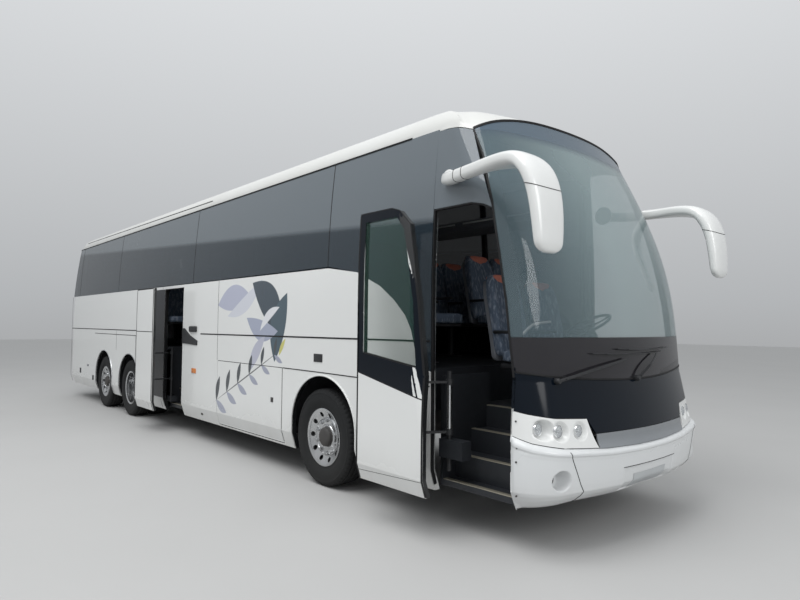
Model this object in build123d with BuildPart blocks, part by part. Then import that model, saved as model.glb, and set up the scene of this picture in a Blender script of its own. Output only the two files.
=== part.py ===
"""Three-axle touring coach, drawn in millimetres.

+X points forward, +Y to the coach's left, +Z up. The origin is on the ground at mid-length.
Stations along the coach are given from the front axle, and at() puts them in that frame.
"""

import os

from build123d import *

os.makedirs("parts", exist_ok=True)

# Driving dimensions of the whole coach
FRONT_AXLE_X = 3765
DRIVE_AXLE = -6240
TAG_AXLE = -7800
HALF_WIDTH = 1275
WALL = 60
GLASS = 30
LEAF = 45
SKIRT_Z = 300
TUCK, TUCK_Z = 57, 480
FLOOR_Z, FLOOR_T = 1300, 45
PLATFORM_Z = 960
WINDOW_LOW_Z = 2278
REAR_END = -10600
REAR_CORNER = -10450
A_PILLAR = 2500
NOSE_START = 1648
GAP = 8
DOOR_GAP = 12

# Wheels: 295/80 tyres on 22.5 inch rims
WHEEL_Z = 505
TYRE_R = 505
BEAD_R = 286
FLANGE_R = 298
TRACK_Y = 1105
TWIN_PITCH = 335

# Doors: closed outline, and how far the open leaf stands from it
FRONT_DOOR_X = (NOSE_START + DOOR_GAP, 2490)
FRONT_DOOR_Z = (345, 2650)
FRONT_DOOR_OPEN = (-590, -330)
MID_DOOR_X = (-4500, -3750)
MID_DOOR_Z = (352, 2215)
MID_DOOR_OPEN = (-330, -330)

# Sides and roof: the tumblehome arc starts at SIDE_TURN_Z and ends under the eave
SIDE_TURN_Z, SIDE_R = 1900, 12355
EAVE_Y, EAVE_Z, EAVE_R = 952, 3372, 226
ROOF_Z = 3665
ROOF_NOSE = [(1150, ROOF_Z), (1750, 3610), (2190, 3452)]
ROOF_TAIL = [(-10330, 3420), (-10200, 3600), (-9900, ROOF_Z)]

# Nose: plan sections at rising heights. Columns: z, apex station
NOSE_LOWER = [(200, 2850), (300, 2862), (480, 2905), (760, 2925), (1270, 2815)]
NOSE_UPPER = [(1270, 2815), (1600, 2790), (1900, 2758), (2470, 2620), (3000, 2385), (3400, 2205), (3690, 2073)]
TAIL_LOWER = [(200, 10490), (300, 10512), (480, 10585), (760, 10600), (1270, 10600)]
TAIL_UPPER = [(1270, 10600), (1600, 10598), (1900, 10580), (2470, 10500), (3000, 10390), (3400, 10290), (3690, 10205)]
# Ends: way along X, where the loft starts, radius across, corner radius
NOSE = (1, NOSE_START, 4200, 330)
TAIL = (-1, 9850, 7000, 200)


def at(x):
    """Station x, from the front axle, in the model's frame."""
    return FRONT_AXLE_X + x


def half_width(z):
    """The body's half width at a height: tucked skirt, upright side, then the tumblehome arc."""
    if z < TUCK_Z:
        return HALF_WIDTH - TUCK * min(1, (TUCK_Z - z) / (TUCK_Z - SKIRT_Z))
    if z <= SIDE_TURN_Z:
        return HALF_WIDTH
    return HALF_WIDTH - SIDE_R + (SIDE_R**2 - (z - SIDE_TURN_Z) ** 2) ** 0.5


def side_prism(points, y_from, y_to):
    """A solid with the given outline in side view, from y_from to y_to."""
    with BuildPart() as prism:
        with BuildSketch(Plane.XZ.offset(-max(y_from, y_to))):
            with BuildLine():
                Polyline([(at(x), z) for x, z in points], close=True)
            make_face()
        extrude(amount=abs(y_to - y_from))
    return prism.part


def front_prism(points, x_from, x_to):
    """A solid with the given outline in front view, from station x_from to x_to."""
    with BuildPart() as prism:
        with BuildSketch(Plane.YZ.offset(at(min(x_from, x_to)))):
            with BuildLine():
                Polyline(points, close=True)
            make_face()
        extrude(amount=abs(x_to - x_from))
    return prism.part


def block(x_range, y_range, z_range):
    """A plain box between two stations, two y values and two z values."""
    (x0, x1), (y0, y1), (z0, z1) = x_range, y_range, z_range
    with BuildPart() as box:
        with Locations(((at(x0) + at(x1)) / 2, (y0 + y1) / 2, (z0 + z1) / 2)):
            Box(abs(x1 - x0), abs(y1 - y0), abs(z1 - z0))
    return box.part


def blocks(rows):
    """Several boxes as one part."""
    with BuildPart() as group:
        for row in rows:
            add(block(*row))
    return group.part


def side_range(side, inner, outer):
    """Two y values on one side of the coach."""
    return (inner, outer) if side > 0 else (-outer, -inner)


def save(part, name):
    part.label = name
    export_step(part, f"parts/{name}.step")


def roof_arcs(inset):
    """The eave and crown arcs, from the coach's left eave to its right one."""
    crown, eave_r = ROOF_Z - inset, EAVE_R - inset
    shoulder, slant = EAVE_Z + eave_r, eave_r * 0.70711
    ThreePointArc((EAVE_Y + eave_r, EAVE_Z), (EAVE_Y + slant, EAVE_Z + slant), (EAVE_Y, shoulder))
    ThreePointArc((EAVE_Y, shoulder), (0, crown), (-EAVE_Y, shoulder))
    ThreePointArc((-EAVE_Y, shoulder), (-EAVE_Y - slant, EAVE_Z + slant), (-EAVE_Y - eave_r, EAVE_Z))


def roof_line(inset):
    """A solid under the roof's line in side view, rounded down at nose and tail."""
    reach = HALF_WIDTH + 300
    nose = [(at(x - inset / 2), z - inset) for x, z in ROOF_NOSE]
    tail = [(at(x + inset / 2), z - inset) for x, z in ROOF_TAIL]
    with BuildPart() as along:
        with BuildSketch(Plane.XZ.offset(-reach)):
            with BuildLine():
                Line(tail[2], nose[0])
                ThreePointArc(*nose)
                Polyline(
                    nose[2], (at(A_PILLAR + 900), nose[2][1]), (at(A_PILLAR + 900), 0),
                    (at(REAR_END - 300), 0), (at(REAR_END - 300), tail[0][1]), tail[0],
                )
                ThreePointArc(*tail)
            make_face()
        extrude(amount=2 * reach)
    return along.part


def eave_limit(start, length, inset):
    """A solid under the roof's arcs, open at the sides below the eaves."""
    reach, edge = HALF_WIDTH + 300, EAVE_Y + EAVE_R - inset
    with BuildPart() as eaves:
        with BuildSketch(Plane.YZ.offset(at(start))):
            with BuildLine():
                roof_arcs(inset)
                Polyline((-edge, EAVE_Z), (-reach, EAVE_Z), (-reach, 0), (reach, 0), (reach, EAVE_Z), (edge, EAVE_Z))
            make_face()
        extrude(amount=length)
    return eaves.part


def end_section(end, z, apex, inset):
    """One plan section of nose or tail: an arc across, rounded corners and straight sides."""
    way, start, end_r, corner_r = end
    half, corner, apex = half_width(z) - inset, corner_r - inset, apex - inset
    radius, y_centre = end_r - inset, half_width(z) - corner_r
    centre = apex - radius + ((radius - corner) ** 2 - y_centre**2) ** 0.5
    lean = (centre - apex + radius, y_centre)
    reach = (lean[0] ** 2 + lean[1] ** 2) ** 0.5
    knee = (centre + lean[0] / reach * corner, y_centre + lean[1] / reach * corner)
    middle = (centre + 0.70711 * corner, y_centre + 0.70711 * corner)

    def place(x, y):
        return (at(way * x), y)

    with BuildSketch(Plane.XY.offset(z)) as outline:
        with BuildLine():
            Line(place(start, half), place(centre, half))
            ThreePointArc(place(centre, half), place(*middle), place(*knee))
            ThreePointArc(place(*knee), place(apex, 0), place(knee[0], -knee[1]))
            ThreePointArc(place(knee[0], -knee[1]), place(middle[0], -middle[1]), place(centre, -half))
            Polyline(place(centre, -half), place(start, -half), place(start, half))
        make_face()
    return outline.sketch


def end_form(end, lower_rows, upper_rows, inset):
    """The nose or the tail as a loft, or the same form that lies inset inside it."""
    lower = [end_section(end, z, apex, inset) for z, apex in lower_rows[0 if inset else 1:]]
    upper = [end_section(end, z, apex, inset) for z, apex in upper_rows]
    low_x = min(end[0] * end[1], end[0] * (end[1] + 1600))
    with BuildPart() as form:
        loft(sections=lower, ruled=True)
        loft(sections=upper)
        add(eave_limit(low_x, 1600, inset), mode=Mode.INTERSECT)
        add(roof_line(inset), mode=Mode.INTERSECT)
    return form.part


def nose_form(inset):
    return end_form(NOSE, NOSE_LOWER, NOSE_UPPER, inset)


def long_form(inset):
    """The body from the tail to NOSE_START, or the same form that lies inset inside it."""
    skirt, side = HALF_WIDTH - TUCK - inset, HALF_WIDTH - inset
    radius, rise = SIDE_R - inset, EAVE_Z - SIDE_TURN_Z

    def side_y(up):
        return HALF_WIDTH - SIDE_R + (radius**2 - up**2) ** 0.5

    left = [(skirt, SKIRT_Z), (side, TUCK_Z), (side, SIDE_TURN_Z)]
    if inset:
        left = [(skirt, SKIRT_Z - 100)] + left
    right = [(-y, z) for y, z in left]
    eave = EAVE_Y + EAVE_R - inset
    tail = end_form(TAIL, TAIL_LOWER, TAIL_UPPER, inset)
    with BuildPart() as body:
        with BuildSketch(Plane.YZ.offset(at(-TAIL[1]))):
            with BuildLine():
                Polyline(left)
                ThreePointArc(left[-1], (side_y(rise / 2), SIDE_TURN_Z + rise / 2), (side_y(rise), EAVE_Z))
                Line((side_y(rise), EAVE_Z), (eave, EAVE_Z))
                roof_arcs(inset)
                Line((-eave, EAVE_Z), (-side_y(rise), EAVE_Z))
                ThreePointArc((-side_y(rise), EAVE_Z), (-side_y(rise / 2), SIDE_TURN_Z + rise / 2), right[-1])
                Polyline(right[::-1])
                Line(right[0], left[0])
            make_face()
        extrude(amount=NOSE_START + TAIL[1])
        add(roof_line(inset), mode=Mode.INTERSECT)
        add(tail)
    return body.part


def layer(outer, inner):
    """What lies between two forms."""
    with BuildPart() as between:
        add(outer)
        add(inner, mode=Mode.SUBTRACT)
    return between.part
outer_long, outer_nose = long_form(0), nose_form(0)
wall_long, wall_nose = layer(outer_long, long_form(WALL)), layer(outer_nose, nose_form(WALL))
glass_long, glass_nose = layer(outer_long, long_form(GLASS)), layer(outer_nose, nose_form(GLASS))
leaf_long, leaf_nose = layer(outer_long, long_form(LEAF)), layer(outer_nose, nose_form(LEAF))

# Outlines in side view, as (station, z)
SWOOSH = [
    (110, 2262), (610, 2190), (749, 2131), (967, 2040), (1169, 1905), (1320, 1768),
    (1401, 1637), (1464, 1431), (1580, 1309), (NOSE_START, 1290),
]
PILLAR_LINE = [(A_PILLAR, 1290), (2432, 1870), (2360, 2250), (2262, 2650), (2120, 3060), (1960, 3440)]
WINDOW_REAR = [(-10385, WINDOW_LOW_Z), (-10180, EAVE_Z)]
REAR_LINE = [(REAR_CORNER, 100), (REAR_CORNER, 1900), WINDOW_REAR[0]]
ACROSS = (-2000, 2000)
below_windows = side_prism([*REAR_LINE, *SWOOSH, (NOSE_START, 100)], *ACROSS)
window_band = side_prism([WINDOW_REAR[0], *SWOOSH, (NOSE_START, EAVE_Z), WINDOW_REAR[1]], *ACROSS)

# Openings over the wheels. Columns: station, half width, top z
ARCHES = [(30, 590, 1150), (DRIVE_AXLE, 560, 1120), (TAG_AXLE, 560, 1130)]
ARCH_HEAD = 0.92


def arch(station, half, top):
    """The opening over a wheel: upright sides and an elliptical head."""
    head, foot = half * ARCH_HEAD, SKIRT_Z - 150
    with BuildPart() as opening:
        with BuildSketch(Plane.XZ.offset(-2000)):
            with BuildLine():
                Polyline(
                    (at(station - half), top - head), (at(station - half), foot),
                    (at(station + half), foot), (at(station + half), top - head),
                )
                EllipticalCenterArc((at(station), top - head), half, head, arc_size=180)
            make_face()
        extrude(amount=4000)
    return opening.part


arch_cuts = [arch(*row) for row in ARCHES]

# Luggage flaps, hung from their top outer edge. Columns: name, side, rear station, front station
FLAP_Z = (330, 1178)
FLAPS = [
    ("luggage_flap_right", -1, -2490, -790),
    ("luggage_flap_left_front", 1, -2310, -790),
    ("luggage_flap_left_middle", 1, -3850, -2330),
    ("luggage_flap_left_rear", 1, -5390, -3870),
]


def flap_box(side, rear, front, grow):
    z_range = (FLAP_Z[0] - grow, FLAP_Z[1] + grow)
    return block((rear - grow, front + grow), side_range(side, 1000, 1400), z_range)


def front_door_outline(grow):
    """The front door in side view, its front edge leaning with the windscreen."""
    (rear, front), (low, top) = FRONT_DOOR_X, FRONT_DOOR_Z
    return [
        (rear - grow, low - grow), (front + grow, low - grow), (front + grow, 1280), (2424 + grow, 1870),
        (2352 + grow, 2250), (2290 + grow, 2500), (2180 + grow, 2620 + grow), (2080, top + grow),
        (rear - grow, top + grow),
    ]


def mid_door_outline(grow):
    (rear, front), (low, top) = MID_DOOR_X, MID_DOOR_Z
    return [
        (rear - grow, low - grow), (front + grow, low - grow),
        (front + grow, top + grow), (rear - grow, top + grow),
    ]


RIGHT_SIDE = (-2000, -900)
front_doorway = side_prism(front_door_outline(DOOR_GAP), *RIGHT_SIDE)
doorway_x = (MID_DOOR_X[0] - DOOR_GAP, MID_DOOR_X[1] + DOOR_GAP)
mid_doorway = side_prism(mid_door_outline(DOOR_GAP), *RIGHT_SIDE)
mid_sill = block(doorway_x, RIGHT_SIDE, (100, 500))

# Window posts: upright bars behind the side glass that carry the roof
# Columns: station, z where the post leaves the wall
POSTS = [(x, WINDOW_LOW_Z) for x in (-9550, -8350, -7000, -5800, -4600, -3400, -1650, 100)]
POSTS.append((1560, 1375))
POST_W, POST_T, POST_LAP = 60, 45, 78


def window_post(side, wall_top):
    """The outline of one post in front view: lapped inside the wall, then leaning in with the glass."""
    lapped = [(half_width(z) - WALL - 0.5, z) for z in (wall_top - POST_LAP, wall_top)]
    leaning = [(half_width(z) - GLASS - 1, z) for z in (wall_top + 360, 3000, EAVE_Z)]
    outer = lapped + leaning
    inner = [(y - POST_T, z) for y, z in reversed(outer)]
    return [(side * y, z) for y, z in outer + inner]


for side, name in ((-1, "right_side_wall"), (1, "left_side_wall")):
    half_space = block((REAR_END - 500, NOSE_START), side_range(side, 100, 2000), (0, 4200))
    with BuildPart() as side_wall:
        add(wall_long)
        add(below_windows, mode=Mode.INTERSECT)
        add(half_space, mode=Mode.INTERSECT)
        for cut in arch_cuts:
            add(cut, mode=Mode.SUBTRACT)
        for flap_name, flap_side, rear, front in FLAPS:
            if flap_side == side:
                add(flap_box(side, rear, front, GAP), mode=Mode.SUBTRACT)
        if side < 0:
            add(mid_doorway, mode=Mode.SUBTRACT)
            add(mid_sill, mode=Mode.SUBTRACT)
    save(side_wall.part, name)

with BuildPart() as window_posts:
    for x, wall_top in POSTS:
        for side in (-1, 1):
            add(front_prism(window_post(side, wall_top), x - POST_W / 2, x + POST_W / 2))
save(window_posts.part, "window_posts")

# Upright rubber joints between the side panes
PANE_JOINTS, JOINT_W = [-9850, -7000, -3400, 100], 8
with BuildPart() as side_windows:
    add(glass_long)
    add(window_band, mode=Mode.INTERSECT)
    for x in PANE_JOINTS:
        add(block((x - JOINT_W / 2, x + JOINT_W / 2), ACROSS, (WINDOW_LOW_Z - 20, EAVE_Z)), mode=Mode.SUBTRACT)
save(side_windows.part, "side_windows")

# Nose pieces above the belt: the windscreen, and the panes between it and the side windows
GLASS_FOOT_Z, GLASS_HEAD_Z = 1290, 3440
nose_space = side_prism(
    [(A_PILLAR, 100), *PILLAR_LINE, (1960, 4000), (3600, 4000), (3600, 100)], *ACROSS
)
quarter_space = side_prism(
    [(NOSE_START, GLASS_FOOT_Z), *PILLAR_LINE[:-1], (1985, EAVE_Z), (NOSE_START, EAVE_Z)], *ACROSS
)
with BuildPart() as windscreen:
    add(glass_nose)
    add(nose_space, mode=Mode.INTERSECT)
    add(block((1500, 3500), ACROSS, (GLASS_FOOT_Z, GLASS_HEAD_Z)), mode=Mode.INTERSECT)
save(windscreen.part, "windscreen")
with BuildPart() as quarter_windows:
    add(glass_nose)
    add(quarter_space, mode=Mode.INTERSECT)
    add(front_doorway, mode=Mode.SUBTRACT)
save(quarter_windows.part, "quarter_windows")
with BuildPart() as driver_side_panel:
    add(wall_nose)
    add(block((NOSE_START, A_PILLAR), (900, 2000), (100, GLASS_FOOT_Z)), mode=Mode.INTERSECT)
save(driver_side_panel.part, "driver_side_panel")

# Nose pieces below the belt, as outlines in front view (y, z)
TRIM_LOW_Z, TRIM_TOP_Z = 760, 880
LAMP_PANEL = [(640, TRIM_LOW_Z), (708, TRIM_TOP_Z), (770, 990), (1400, 1080), (1400, 890)]
TRIM = [(-640, TRIM_LOW_Z), (640, TRIM_LOW_Z), (708, TRIM_TOP_Z), (-708, TRIM_TOP_Z)]
BUMPER = [(-1400, 100), (1400, 100), (1400, 890), (640, TRIM_LOW_Z), (-640, TRIM_LOW_Z), (-1400, 890)]
PANEL = [
    (-1400, 1080), (-770, 990), (-708, TRIM_TOP_Z), (708, TRIM_TOP_Z), (770, 990), (1400, 1080),
    (1400, GLASS_FOOT_Z), (-1400, GLASS_FOOT_Z),
]
# Lamps in the lamp panels. Columns: y, z, radius
HEADLAMPS = [(1120, 920, 62), (980, 900, 62), (840, 882, 58)]


def mirrored(points):
    return [(-y, z) for y, z in points]


with BuildPart() as lamp_bores:
    for y, z, radius in HEADLAMPS:
        with BuildSketch(Plane.YZ.offset(at(2000))):
            with Locations((y, z), (-y, z)):
                Circle(radius)
        extrude(amount=1200)
NOSE_PIECES = [
    ("front_bumper", [BUMPER]), ("silver_trim", [TRIM]), ("front_panel", [PANEL]),
    ("lamp_panels", [LAMP_PANEL, mirrored(LAMP_PANEL)]),
]
for name, outlines in NOSE_PIECES:
    regions = [front_prism(outline, 2000, 3400) for outline in outlines]
    with BuildPart() as region:
        add(regions)
    with BuildPart() as piece:
        add(wall_nose)
        add(nose_space, mode=Mode.INTERSECT)
        add(region.part, mode=Mode.INTERSECT)
        if name == "lamp_panels":
            add(lamp_bores.part, mode=Mode.SUBTRACT)
    save(piece.part, name)
with BuildPart() as headlamps:
    add(layer(nose_form(12), nose_form(WALL)))
    add(lamp_bores.part, mode=Mode.INTERSECT)
save(headlamps.part, "headlamps")

# Tail: the rear wall round its window and engine hatch, and the bumper
HATCH_Y, HATCH_Z = (-820, 820), (640, 1760)
REAR_GLASS_Y, REAR_GLASS_Z = (-960, 960), (2300, 3200)
REAR_BUMPER_TOP = 620
TAIL_BOX = (REAR_END - 300, REAR_END + 700)
# Round lamps in the rear corners. Columns: y, z
TAIL_LAMPS, TAIL_LAMP_R = [(1030, 930), (1030, 1080), (1030, 1230)], 55
with BuildPart() as tail_bores:
    with BuildSketch(Plane.YZ.offset(at(REAR_END - 400))):
        with Locations(TAIL_LAMPS + mirrored(TAIL_LAMPS)):
            Circle(TAIL_LAMP_R)
    extrude(amount=900)
with BuildPart() as tail_lamps:
    add(layer(long_form(12), long_form(WALL)))
    add(tail_bores.part, mode=Mode.INTERSECT)
save(tail_lamps.part, "tail_lamps")
tail_space = side_prism([*REAR_LINE, WINDOW_REAR[1], (-11200, EAVE_Z), (-11200, 100)], *ACROSS)
rear_glass_box = block(TAIL_BOX, REAR_GLASS_Y, REAR_GLASS_Z)
hatch_box = block(TAIL_BOX, HATCH_Y, HATCH_Z)
hatch_hole = block(TAIL_BOX, (HATCH_Y[0] - GAP, HATCH_Y[1] + GAP), (HATCH_Z[0] - GAP, HATCH_Z[1] + GAP))
TAIL_PIECES = [
    ("rear_wall", wall_long, (tail_space, block(TAIL_BOX, ACROSS, (REAR_BUMPER_TOP, EAVE_Z))),
     (rear_glass_box, hatch_hole, tail_bores.part)),
    ("rear_bumper", wall_long, (tail_space, block(TAIL_BOX, ACROSS, (100, REAR_BUMPER_TOP))), ()),
    ("rear_window", glass_long, (rear_glass_box,), ()),
    ("engine_hatch", leaf_long, (hatch_box,), ()),
]
for name, skin, kept, cuts in TAIL_PIECES:
    with BuildPart() as piece:
        add(skin)
        for space in kept:
            add(space, mode=Mode.INTERSECT)
        for cut in cuts:
            add(cut, mode=Mode.SUBTRACT)
    save(piece.part, name)

# Roof: the long shell, and the moulded dome over the windscreen
with BuildPart() as roof_shell:
    add(wall_long)
    add(block((REAR_END - 300, NOSE_START), ACROSS, (EAVE_Z, 4000)), mode=Mode.INTERSECT)
save(roof_shell.part, "roof_shell")
dome_space = side_prism(
    [(NOSE_START, EAVE_Z), (1985, EAVE_Z), (1960, GLASS_HEAD_Z), (3500, GLASS_HEAD_Z), (3500, 4000), (NOSE_START, 4000)],
    *ACROSS,
)
with BuildPart() as front_dome:
    add(wall_nose)
    add(dome_space, mode=Mode.INTERSECT)
save(front_dome.part, "front_dome")

# Roof equipment
POD_X, POD_HALF, POD_EDGE_Z, POD_TOP_Z = (-9900, -2700), 800, 3670, 3800
HATCH_DOMES = [-2200, -900]
with BuildPart() as roof_air_conditioner:
    with BuildSketch(Plane.YZ.offset(at(POD_X[0]))):
        with BuildLine():
            Polyline((POD_HALF, POD_EDGE_Z), (POD_HALF, 3500), (-POD_HALF, 3500), (-POD_HALF, POD_EDGE_Z))
            ThreePointArc((-POD_HALF, POD_EDGE_Z), (0, POD_TOP_Z), (POD_HALF, POD_EDGE_Z))
        make_face()
    extrude(amount=POD_X[1] - POD_X[0])
    add(outer_long, mode=Mode.SUBTRACT)
save(roof_air_conditioner.part, "roof_air_conditioner")
with BuildPart() as dome_blocks:
    with Locations([(at(x), 0, 3680) for x in HATCH_DOMES]):
        Box(620, 640, 180)
    fillet(dome_blocks.edges().filter_by(Axis.Z), 60)
    fillet(dome_blocks.faces().sort_by(Axis.Z)[-2:].edges(), 40)
    add(outer_long, mode=Mode.SUBTRACT)
save(dome_blocks.part, "roof_hatches")

# Doors. Each leaf is cut from the body form where it closes, then stands at its open place
ARM_T, ARM_W, EYE_R, PIN_R, RUN = 18, 34, 24, 12, 0.05
PILLAR_R, PILLAR_FOOT = 20, 480
ARM_HEIGHTS = (800, 1210)
# Columns: name, skin, leaf outline, open offset, pillar station and y, leaf pivot station and y
DOORS = [
    ("front_door", leaf_nose, front_door_outline(0), FRONT_DOOR_OPEN, (1780, -1180), (2178.5, -1200)),
    ("mid_door", leaf_long, mid_door_outline(0), MID_DOOR_OPEN, (-4400, -1180), (-4051.8, -1198.2)),
]
DOOR_GLASS = [(1740, 1440), (2410, 1350), (2370, 1870), (2300, 2230), (2240, 2460), (2150, 2570), (1740, 2570)]
door_window = side_prism(DOOR_GLASS, *RIGHT_SIDE)
LEAF_FACE = -HALF_WIDTH + LEAF

for name, skin, outline, (open_x, open_y), (post_x, post_y), (pivot_x, pivot_y) in DOORS:
    region = side_prism(outline, *RIGHT_SIDE)
    with BuildPart() as leaf:
        add(skin)
        add(region, mode=Mode.INTERSECT)
        if name == "front_door":
            add(door_window, mode=Mode.SUBTRACT)
        for z in ARM_HEIGHTS:
            for plate_z in (z - ARM_T / 2 - 9, z + ARM_T / 2 + 9):
                with Locations((at(pivot_x), (LEAF_FACE + pivot_y) / 2, plate_z)):
                    Box(2 * EYE_R, pivot_y - LEAF_FACE, 12)
                with Locations((at(pivot_x), pivot_y, plate_z)):
                    Cylinder(EYE_R, 12)
            with Locations((at(pivot_x), pivot_y, z)):
                Cylinder(PIN_R, ARM_T + 18)
    save(leaf.part.moved(Location((open_x, open_y, 0))), name)
    eye = Vector(pivot_x + open_x - post_x, pivot_y + open_y - post_y, 0)
    heading = Vector(1, 0, 0).get_signed_angle(eye, Vector(0, 0, 1))
    with BuildPart() as arms:
        with Locations((at(post_x), post_y, (FLOOR_Z + PILLAR_FOOT) / 2)):
            Cylinder(PILLAR_R, FLOOR_Z - PILLAR_FOOT)
        for z in ARM_HEIGHTS:
            with Locations(Location((at(post_x), post_y, z), (0, 0, heading))):
                with Locations((eye.length / 2, 0, 0)):
                    Box(eye.length, ARM_W, ARM_T)
                with Locations((eye.length, 0, 0)):
                    Cylinder(EYE_R, ARM_T)
                    Cylinder(PIN_R + RUN, ARM_T, mode=Mode.SUBTRACT)
                Cylinder(PILLAR_R + 14, ARM_T + 30)
    save(arms.part, name + "_arms")

with BuildPart() as door_pane:
    add(glass_nose)
    add(door_window, mode=Mode.INTERSECT)
save(door_pane.part.moved(Location((*FRONT_DOOR_OPEN, 0))), "front_door_glass")

for name, side, rear, front in FLAPS:
    with BuildPart() as flap:
        add(leaf_long)
        add(flap_box(side, rear, front, 0), mode=Mode.INTERSECT)
    save(flap.part, name)

# Floors and stairs
INNER_Y = HALF_WIDTH - WALL
FOOT_Y = INNER_Y - TUCK
WELL_Y, WELL_T = -470, 30
WELL_X = (MID_DOOR_X[0] - WELL_T, MID_DOOR_X[1] + WELL_T)
UNDER_FLOOR = FLOOR_Z - FLOOR_T
with BuildPart() as saloon_floor:
    add(block((-9850, 1500), (-INNER_Y, INNER_Y), (UNDER_FLOOR, FLOOR_Z)))
    add(block((-10400, -9850), (-INNER_Y + 90, INNER_Y - 90), (UNDER_FLOOR, FLOOR_Z)))
    add(block(WELL_X, (-INNER_Y - 1, WELL_Y), (UNDER_FLOOR - 100, FLOOR_Z + 100)), mode=Mode.SUBTRACT)
save(saloon_floor.part, "saloon_floor")


def stair(treads, sheet, start_y, start_z):
    """The edge view of a folded stair, climbing from start_y. Each row gives a tread's far y and its z."""
    upper, lower = [(start_y, start_z)], [(start_y + sheet, start_z)]
    y = start_y
    for far_y, z in treads:
        upper += [(y, z), (far_y, z)]
        lower += [(y + sheet, z - sheet), (far_y + sheet, z - sheet)]
        y = far_y
    lower[-1] = (treads[-1][0], treads[-1][1] - sheet)
    return upper + lower[::-1]


STAIR_T = 28
FRONT_TREADS = [(-1000, 390), (-800, 580), (-600, 770), (INNER_Y - 30, PLATFORM_Z)]
STAIR_X = (1680, 2440)
HOUSING_X, HOUSING_Y, HOUSING_Z = (1700, 1960), (-1222, -1110), (590, 740)
with BuildPart() as front_steps:
    add(front_prism(stair(FRONT_TREADS, STAIR_T, -1150, 340), *STAIR_X))
    add(blocks([
        ((STAIR_X[0] - WELL_T, STAIR_X[0]), (-1150, -560), (340, UNDER_FLOOR)),
        ((STAIR_X[1], STAIR_X[1] + WELL_T), (-1150, -560), (340, UNDER_FLOOR)),
        ((1472, 1500), (-INNER_Y, INNER_Y), (PLATFORM_Z - STAIR_T, UNDER_FLOOR)),
        ((1472, STAIR_X[0]), (-600, INNER_Y - 30), (PLATFORM_Z - STAIR_T, PLATFORM_Z)),
        (HOUSING_X, HOUSING_Y, HOUSING_Z),
        ((STAIR_X[0], HOUSING_X[0]), (-1150, -1110), HOUSING_Z),
    ]))
    with Locations((at(DOORS[0][4][0]), DOORS[0][4][1], 600)):
        Cylinder(PILLAR_R + RUN, 400, mode=Mode.SUBTRACT)
save(front_steps.part, "front_steps")

MID_TREADS = [(-1010, 400), (-830, 625), (-650, 850), (WELL_Y - STAIR_T, 1075)]
with BuildPart() as mid_steps:
    add(front_prism(stair(MID_TREADS, STAIR_T, -1150, 350), *MID_DOOR_X))
    add(blocks([
        ((WELL_X[0], MID_DOOR_X[0]), (-1150, WELL_Y), (350, UNDER_FLOOR)),
        ((MID_DOOR_X[1], WELL_X[1]), (-1150, WELL_Y), (350, UNDER_FLOOR)),
        (MID_DOOR_X, (WELL_Y - STAIR_T, WELL_Y), (1047, UNDER_FLOOR)),
        ((MID_DOOR_X[0], MID_DOOR_X[0] + 180), (-1208, -1110), (440, 520)),
    ]))
    with Locations((at(DOORS[1][4][0]), DOORS[1][4][1], 600)):
        Cylinder(PILLAR_R + RUN, 400, mode=Mode.SUBTRACT)
save(mid_steps.part, "mid_steps")

BAY_X, BAY_Z = (-5470, -800), (420, 445)
BULKHEAD = 25
with BuildPart() as luggage_floor:
    add(blocks([
        (BAY_X, (-FOOT_Y - 10, FOOT_Y + 10), BAY_Z),
        ((BAY_X[0], BAY_X[0] + BULKHEAD), (-FOOT_Y, FOOT_Y), (BAY_Z[0], UNDER_FLOOR)),
        ((BAY_X[1] - BULKHEAD, BAY_X[1]), (-FOOT_Y, FOOT_Y), (BAY_Z[0], UNDER_FLOOR)),
    ]))
    add(block(WELL_X, (-INNER_Y, WELL_Y), (300, 1600)), mode=Mode.SUBTRACT)
save(luggage_floor.part, "luggage_floor")

# Chassis frame. Columns: rear station, front station, low z, top z
RAIL_Y, RAIL_W = 420, 80
RAILS = [(-800, 2420, 700, 860), (-5550, -720, 330, 420), (-10250, -5470, 720, 880)]
# Columns: station, z
CROSS_BARS = [
    (2385, 780), (900, 780), (-640, 780), (-900, 375), (-2400, 375), (-3600, 375), (-5350, 375),
    (-5650, 800), (-7020, 800), (-8450, 800), (-10200, 800),
]
FLOOR_LEGS = [1350, 500, -760, -5510, -7020, -8450, -10150]
PLATFORM_LEGS = [1600, 2350]


def rail_y(side, half):
    return (side * RAIL_Y - half, side * RAIL_Y + half)


frame_rows = [((x - 35, x + 35), (-RAIL_Y, RAIL_Y), (z - 45, z + 45)) for x, z in CROSS_BARS]
for side in (-1, 1):
    frame_rows += [((rear, front), rail_y(side, RAIL_W / 2), (low, top)) for rear, front, low, top in RAILS]
    frame_rows += [((x - 40, x + 40), rail_y(side, 40), (330, 880)) for x in (-760, -5510)]
    frame_rows += [((x - 30, x + 30), rail_y(side, 30), (800, UNDER_FLOOR)) for x in FLOOR_LEGS]
    frame_rows += [((x - 30, x + 30), rail_y(side, 30), (800, PLATFORM_Z - STAIR_T)) for x in PLATFORM_LEGS]
    frame_rows += [((2400, 2834), rail_y(side, 30), (690, 750))]
chassis_frame = blocks(frame_rows)
TOW_R, TOW_EYE = 22, (-10420, 0, 400)
with BuildPart() as towed_frame:
    add(chassis_frame)
    add(block((TOW_EYE[0] - 60, -10170), (-45, 45), (TOW_EYE[2] - 20, TOW_EYE[2] + 20)))
    add(block((-10235, -10170), (-45, 45), (TOW_EYE[2] - 20, 800)))
    with Locations((at(TOW_EYE[0]), TOW_EYE[1], TOW_EYE[2])):
        Cylinder(TOW_R, 100, mode=Mode.SUBTRACT)
save(towed_frame.part, "chassis_frame")

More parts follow.
